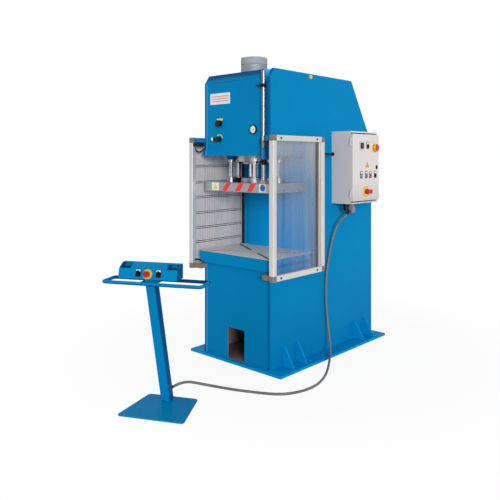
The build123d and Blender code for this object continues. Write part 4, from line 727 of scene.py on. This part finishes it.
# Gauge: paper dial with plain ticks, and a domed glass
gauge = {
    "x": 0.188, "z": 1.795, "dial": -0.7161, "glass": -0.7215, "radius": 0.0288,
    "tickEnd": 0.0265,
    "ticks": ((0.0048, 0.00045), (0.0028, 0.00025)),  # length and half width of long and short ticks
    "redArc": (0.0190, 0.0205),
    "dome": 0.0015,
}
dialPlace = (gauge["x"], gauge["dial"], gauge["z"])
dial = [(0.0022, -0.0002), (gauge["radius"], -0.0002), (gauge["radius"], 0.0003), (0.0022, 0.0003)]
turnedField("gaugeDial", dial, [dialPlace], forward, "dialPaper")
tickField = []
for index, outward in enumerate(arc(-45, 225, 28)):
    length, halfWidth = gauge["ticks"][0 if index % 3 == 0 else 1]
    across = np.array([-outward[1], outward[0]]) * halfWidth
    inner, outer = outward * (gauge["tickEnd"] - length), outward * gauge["tickEnd"]
    outline = [inner - across, outer - across, outer + across, inner + across]
    tickField.append((outline, (gauge["x"], gauge["dial"] - 0.0003, gauge["z"])))
plateField("gaugeTicks", tickField, frontPlane, 0.0002, 0.00005, "blackPolyamide")
arcPiece("gaugeRedArc", dialPlace, arc(-45, 0, 14), *gauge["redArc"], (0.0003, 0.0005), "redVinyl")
dome = [(gauge["radius"], -gauge["dome"])]
dome += [(gauge["radius"] * sine, gauge["dome"] * cosine ** 0.7) for cosine, sine in arc(90, 0, 8)]
turnedField("gaugeGlass", dome, [(gauge["x"], gauge["glass"], gauge["z"])], forward, "clearGlass")


# Socket-head screw: a head with a chamfered rim and a round socket sunk in its top
def screwProfile(radius, height, rim=0.0008):
    return [
        (radius, 0.0), (radius, height - rim), (radius - rim, height),
        (radius * 0.55, height), (radius * 0.5, height * 0.45), (0.0, height * 0.45),
    ]


# Places round a centre, evenly spaced from an angle
def ringOf(count, radius, centre, start):
    return centre + np.pad(circle(count, start) * radius, ((0, 0), (0, 1)))


cylinderY = -0.500
guideCentres = [(x, cylinderY + y) for x in (-0.218, 0.218) for y in (-0.042, 0.042)]
columnFeet = np.concatenate([ringOf(4, 0.0265, (x, y, 1.426), 0.6) for x, y in guideCentres])
bushRings = np.concatenate([ringOf(4, 0.0275, (x, y, 1.546), 0.6) for x, y in guideCentres])
rearEdge = [(x, 0.686, z) for x in (-0.305, 0.305) for z in np.linspace(0.12, 1.62, 6)]
rearEdge += [(x, 0.686, z) for x in (-0.1, 0.1) for z in (0.06, 1.66)]
topEdge = [(x, y, 2.247) for x in (-0.305, 0.305) for y in np.linspace(-0.3, 0.30, 4)]
# head radius and height, places, the way the head looks, the body it rides and its segments
screws = {
    "glandScrews": (0.0085, 0.008, ringOf(8, 0.121, (0, cylinderY, 1.553), 0.2), down, "press", 14),
    "rodFootScrews": (0.0075, 0.007, ringOf(8, 0.083, (0, cylinderY, 1.423), 0.39), up, "ram", 14),
    "columnFootScrews": (0.0042, 0.004, columnFeet, up, "ram", 14),
    "bushScrews": (0.0028, 0.003, bushRings, down, "press", 10),
    "rearCoverScrews": (0.006, 0.0035, rearEdge, rearward, "press", 12),
    "topCoverScrews": (0.006, 0.0035, topEdge, up, "press", 12),
}
for name, (radius, height, places, way, body, segments) in screws.items():
    turnedField(name, screwProfile(radius, height), places, way, "blackenedSteel", body, segments)
print("screws set")

# Rubber edge on the left side plate where the guard closes on the throat, and its blue angle
seal = {
    "throatSeal": (0.031, -0.3845, 0.003, 0.004, "sealRubber"),  # width, x, corner, thickness, material
    "sealAngle": (0.020, -0.3590, 0.002, 0.003, "throatLitEnamel"),
    "height": 0.760, "y": -0.218, "z": 1.217,
}
for name in ("throatSeal", "sealAngle"):
    width, x, corner, thickness, material = seal[name]
    strip = [(roundedRectangle(width, seal["height"], corner), (x, seal["y"], seal["z"]))]
    plateField(name, strip, frontPlane, thickness, 0.001, material)

# Left guard: pairs of thin stiffening wires across the outside of the panel
guardWires = {
    "x": -0.4236, "y": (-0.748, -0.209), "levels": (1.515, 1.384, 1.261, 1.134, 1.012, 0.897),
    "spread": 0.007, "radius": 0.0021,
}
wires = [
    [(guardWires["x"], y, z + side * guardWires["spread"]) for y in guardWires["y"]]
    for z in guardWires["levels"] for side in (-1, 1)
]
tubeField("guardWires", wires, guardWires["radius"], "blackenedSteel", 8, up)

# Pipes on the outside of the head's right plate, behind the clear panel, and their fittings
pipes = {
    "radius": 0.0034,
    "lubePipeDrop": [
        (0.358, -0.562, 1.712), (0.358, -0.560, 1.694), (0.358, -0.544, 1.668), (0.358, -0.545, 1.640),
        (0.358, -0.565, 1.612), (0.358, -0.576, 1.592), (0.357, -0.575, 1.578), (0.345, -0.574, 1.571),
        (0.335, -0.574, 1.580), (0.334, -0.574, 1.597),
    ],
    "lubePipeRun": [
        (0.358, -0.560, 1.637), (0.358, -0.500, 1.634), (0.358, -0.400, 1.636), (0.358, -0.300, 1.633),
        (0.358, -0.200, 1.630), (0.3575, -0.165, 1.628), (0.351, -0.160, 1.628),
    ],
    "lubePipeStub": [
        (0.357, -0.503, 1.604), (0.358, -0.480, 1.612), (0.358, -0.400, 1.613), (0.358, -0.325, 1.612),
        (0.351, -0.305, 1.612),
    ],
    "fittings": [
        (0.350, -0.562, 1.716), (0.350, -0.160, 1.628), (0.350, -0.305, 1.612), (0.350, -0.552, 1.637),
        (0.350, -0.503, 1.604),
    ],
    "fitting": [(0.0, 0.0), (0.0085, 0.0), (0.0085, 0.009), (0.007, 0.0105), (0.0, 0.0105)],
}
for name in ("lubePipeDrop", "lubePipeRun", "lubePipeStub"):
    line = smoothLine(pipes[name])
    tubeField(name, [line], pipes["radius"], "pipeSteel", 10, (1, 0.02, 0.01))
turnedField("pipeFittings", pipes["fitting"], pipes["fittings"], right, "bushSteel", "press", 6, 20)

# Sensor cables of the left guard: one hangs from the upper bracket to the head, one arches over the lower
guardCables = {
    "radius": 0.0062,
    "guardCableUpper": [
        (-0.417, -0.768, 1.703), (-0.416, -0.764, 1.676), (-0.412, -0.757, 1.648), (-0.398, -0.745, 1.631),
        (-0.381, -0.733, 1.629), (-0.366, -0.722, 1.641), (-0.356, -0.712, 1.658), (-0.349, -0.700, 1.664),
    ],
    "guardCableLower": [
        (-0.430, -0.770, 0.733), (-0.424, -0.768, 0.743), (-0.412, -0.762, 0.756), (-0.396, -0.752, 0.763),
        (-0.380, -0.742, 0.760), (-0.366, -0.728, 0.748), (-0.358, -0.714, 0.740), (-0.349, -0.700, 0.738),
    ],
}
for name in ("guardCableUpper", "guardCableLower"):
    line = smoothLine(guardCables[name])
    tubeField(name, [line], guardCables["radius"], "blackPolyamide", 12, (0.5, 0.85, 0.1))
# Rubber pads under the upper brackets: width and depth, then place
pads = [((0.066, 0.070), (-0.3835, -0.747, 1.7035)), ((0.012, 0.026), (0.3725, -0.768, 1.7035))]
padField = [(roundedRectangle(*size, 0.003, 3), place) for size, place in pads]
plateField("bracketPads", padField, (right, forward), 0.030, 0.003, "sealRubber")
print("guard and pipes dressed")

# Cabinet door: discs behind the red operators, legend plates, screen, lamp and a plain triangle
door = {
    "x": 0.553, "row": 1.434, "rowY": (0.201, 0.274, 0.339, 0.414), "upper": (0.297, 1.678),
    "estop": (0.404, 1.668), "switch": (0.271, 1.304), "lock": (0.4386, 1.5035),
    "triangle": (0.291, 1.520), "screen": (0.205, 1.682), "screenOff": 0.005,
    "holderLift": 0.009, "insertLift": 0.0265,  # legend plates, above the middle of their operator
    "ring": [(0.0125, 0.0008), (0.0155, 0.0008), (0.0155, 0.0022), (0.0145, 0.003), (0.0125, 0.003)],
    "lampRing": [(0.0095, 0.0), (0.014, 0.0), (0.014, 0.004), (0.0125, 0.0055), (0.0095, 0.0055)],
    "lens": (0.0095, 0.005, 0.006),  # radius, height of its side and height of its dome
}


# Flat plates on the door at places (y, z), with their backs so far off its face
def doorPlates(name, outline, places, thickness, bevel, material, off=0.0):
    plates = [(outline, (door["x"] + off, *place)) for place in places]
    plateField(name, plates, doorPlane, thickness, bevel, material, "door")


operators = [(y, door["row"]) for y in door["rowY"]] + [door["upper"]]
holderPlaces, insertPlaces = (
    [(y, z + door[lift]) for y, z in operators] for lift in ("holderLift", "insertLift"))
holder, insert = roundedRectangle(0.036, 0.060, 0.004), roundedRectangle(0.026, 0.015, 0.001, 3)
lock, screen = roundedRectangle(0.030, 0.034, 0.004), roundedRectangle(0.050, 0.050, 0.002)
ringPlaces = [(door["x"], *place) for place in operators]
doorPlates("estopDisc", circle(48) * 0.039, [door["estop"]], 0.0025, 0.0008, "yellowPlastic")
doorPlates("switchDisc", circle(56) * 0.044, [door["switch"]], 0.005, 0.0015, "yellowPlastic")
doorPlates("legendHolders", holder, holderPlaces, filmThickness, filmBevel, "blackPolyamide")
doorPlates("legendInserts", insert, insertPlaces, 0.0006, 0.0002, "whiteVinyl", filmThickness)
turnedField("operatorRings", door["ring"], ringPlaces[1:], right, "turnedSteel", "door", 24)
doorPlates("lockPlate", lock, [door["lock"]], 0.0003, 0.0001, "blackPolyamide")
doorPlates("doorTriangle", roundedTriangle(0.062, 0.004), [door["triangle"]], 0.0006, 0.0002, "amberVinyl")
doorPlates("screenGlass", screen, [door["screen"]], 0.0008, 0.0003, "screenBlack", door["screenOff"])
turnedField("lampRing", door["lampRing"], ringPlaces[:1], right, "turnedSteel", "door")
radius, side, crown = door["lens"]
lens = [(0.0, 0.0)] + [(radius * sine, side + crown * cosine) for cosine, sine in arc(90, 0, 8)]
turnedField("lampLens", lens, ringPlaces[:1], right, "lampLens", "door")

# Devices on the mounting plate: terminal rows and grey faces on each switching device
devices = {
    "x": 0.424, "y": 0.2725 + (np.arange(5) - 2) * 0.055, "z": (1.4235, 1.5835),
    "face": (0.034, 0.030, 0.002, 3), "terminals": (0.038, 0.009, 0.001, 3), "rows": 0.028,
}
face, terminals = roundedRectangle(*devices["face"]), roundedRectangle(*devices["terminals"])
places = [(y, z) for y in devices["y"] for z in devices["z"]]
faceField = [(face, (devices["x"], y, z)) for y, z in places]
rowField = [(terminals, (devices["x"], y, z + way * devices["rows"])) for y, z in places for way in (-1, 1)]
plateField("deviceFaces", faceField, doorPlane, 0.006, 0.001, "deviceGrey")
plateField("deviceTerminals", rowField, doorPlane, 0.003, 0.0006, "bezelGrey")
print("cabinet dressed")

# Console: yellow disc behind the red mushroom and two legend plates above the selectors
console = {
    "turn": 26.6, "rise": (0.016, 0.060),  # the sloping face, back and up
    "middle": (0.209, -1.607, 0.845), "toEdge": 0.200,
    "selectors": (-0.062, 0.072),
    "disc": 0.031, "holders": 0.0365, "inserts": 0.0515,  # how far up the slope they lie
}
sine, cosine = math.sin(math.radians(console["turn"])), math.cos(math.radians(console["turn"]))
consoleX, consoleBack = np.array([cosine, sine, 0.0]), np.array([-sine, cosine, 0.0])
slope = unit(consoleBack * console["rise"][0] + np.array([0, 0, console["rise"][1]]))
lowerEdge = np.array(console["middle"]) - consoleBack * console["toEdge"]
facePlane = consoleX, slope
proud = np.cross(consoleX, slope) * filmThickness
holder, insert = roundedRectangle(0.034, 0.046, 0.004), roundedRectangle(0.028, 0.012, 0.001, 3)
discField = [(circle(48) * 0.030, lowerEdge + slope * console["disc"])]
selectors = [lowerEdge + consoleX * x for x in console["selectors"]]
holderField = [(holder, foot + slope * console["holders"]) for foot in selectors]
insertField = [(insert, foot + slope * console["inserts"] + proud) for foot in selectors]
plateField("consoleDisc", discField, facePlane, 0.003, 0.001, "yellowPlastic")
plateField("consoleHolders", holderField, facePlane, filmThickness, filmBevel, "blackPolyamide")
plateField("consoleInserts", insertField, facePlane, 0.0006, 0.0002, "whiteVinyl")
print("console dressed")


# One for the rays that see the plain white surroundings, 0 for those that carry light to the object
def seenDirectly(tree, *kinds):
    seen = 0.0
    for kind in kinds:
        ray = addNode(tree, "LightPath", {}, kind)
        seen = addNode(tree, "Math", {0: ray, 1: seen}, operation="MAXIMUM")
    return seen


# Studio: a pale floor that fades into the white background, a broad sun and an even sky
studio = {
    "floor": "#CDCDCD", "floorCentre": (0.2, -0.4, -0.0004), "floorRings": (0.0, 3.0, 6.0, 40.0),
    "fade": (0.9, 2.4), "least": 0.92,  # turns white between these reaches, and is so white near by
    "sky": 0.63, "sun": 1.84, "sunAngle": 16, "sunFrom": (0.80, -0.55, 0.17),
    # two dark gaps between the studio's screens, which only polished metal shows: middle and half width
    "gaps": ((-92.0, 27.0), (4.0, 19.0)), "gapTone": "#34363A",
}
floorPoints = turnedPoints([(reach, 0.0) for reach in studio["floorRings"]], up, 64) + studio["floorCentre"]
floorMesh = bpy.data.meshes.new("studioFloor")
floorMesh.from_pydata(floorPoints.tolist(), [], gridFaces(4, 64))
tree = newMaterial("paleFloorPaint")
place = addNode(tree, "TexCoord", {}, "Object")
reach = addNode(tree, "VectorMath", {0: place}, "Value", operation="LENGTH")
near, far = studio["fade"]
fade = {"Value": reach, "From Min": near, "From Max": far, "To Min": studio["least"]}
fade = addNode(tree, "MapRange", fade, interpolation_type="SMOOTHSTEP")
matt = addNode(tree, "BsdfDiffuse", {"Color": studio["floor"]})
white = addNode(tree, "Emission", {"Color": "#FFFFFF", "Strength": 1.0})
seen = seenDirectly(tree, "Is Camera Ray", "Is Glossy Ray")
faded = addNode(tree, "Math", {0: fade, 1: seen}, operation="MULTIPLY")
floorMix = addNode(tree, "MixShader", {0: faded, 1: matt, 2: white})
addNode(tree, "OutputMaterial", {"Surface": floorMix})
floorMesh.materials.append(bpy.data.materials["paleFloorPaint"])
addObject("studioFloor", floorMesh)

world = bpy.data.worlds.new("studioSky")
world.use_nodes = True
tree = world.node_tree
tree.nodes.clear()
seen = seenDirectly(tree, "Is Camera Ray", "Is Glossy Ray", "Is Transmission Ray")
strength = addNode(tree, "MapRange", {"Value": seen, "To Min": studio["sky"], "To Max": 1.0})
heading = addNode(tree, "TexCoord", {}, "Generated")
headingX = addNode(tree, "SeparateXYZ", {"Vector": heading}, "X")
headingY = addNode(tree, "SeparateXYZ", {"Vector": heading}, "Y")
azimuth = addNode(tree, "Math", {0: headingY, 1: headingX}, operation="ARCTAN2")
inGap = 0.0
for gapMiddle, gapHalf in studio["gaps"]:
    away = addNode(tree, "Math", {0: azimuth, 1: math.radians(gapMiddle)}, operation="SUBTRACT")
    away = addNode(tree, "Math", {0: away}, operation="ABSOLUTE")
    limits = {"From Min": math.radians(gapHalf), "From Max": math.radians(gapHalf * 0.7)}
    within = addNode(tree, "MapRange", {"Value": away, **limits})
    inGap = addNode(tree, "Math", {0: within, 1: inGap}, operation="MAXIMUM")
glossy = addNode(tree, "LightPath", {}, "Is Glossy Ray")
skyTone = layeredColour(tree, "#FFFFFF", (inGap, glossy, studio["gapTone"]))
sky = addNode(tree, "Background", {"Color": skyTone, "Strength": strength})
addNode(tree, "OutputWorld", {"Surface": sky})
bpy.context.scene.world = world

sun = bpy.data.lights.new("studioSun", "SUN")
sun.energy = studio["sun"]
sun.angle = math.radians(studio["sunAngle"])
sunTurn = Vector(studio["sunFrom"]).to_track_quat("Z", "Y").to_euler()
addObject("studioSun", sun).rotation_euler = sunTurn

# Camera at the photograph's place: level, and turned 42 degrees to the left
view = {
    "place": (3.2146, -4.0074, 1.5727), "turn": 42.203, "focalPixels": 596.73, "framePixels": 500,
    "shift": (-0.01468, -0.18188), "sensor": 36,
}
camera = bpy.data.cameras.new("viewCamera")
camera.sensor_width = view["sensor"]
camera.lens = view["focalPixels"] * view["sensor"] / view["framePixels"]
camera.shift_x, camera.shift_y = view["shift"]
camera.clip_start, camera.clip_end = 0.1, 100
cameraObject = addObject("viewCamera", camera)
cameraObject.location = view["place"]
cameraObject.rotation_euler = (math.radians(90), 0, math.radians(view["turn"]))
bpy.context.scene.camera = cameraObject
bpy.context.scene.view_settings.view_transform = "Standard"

print("scene ready")
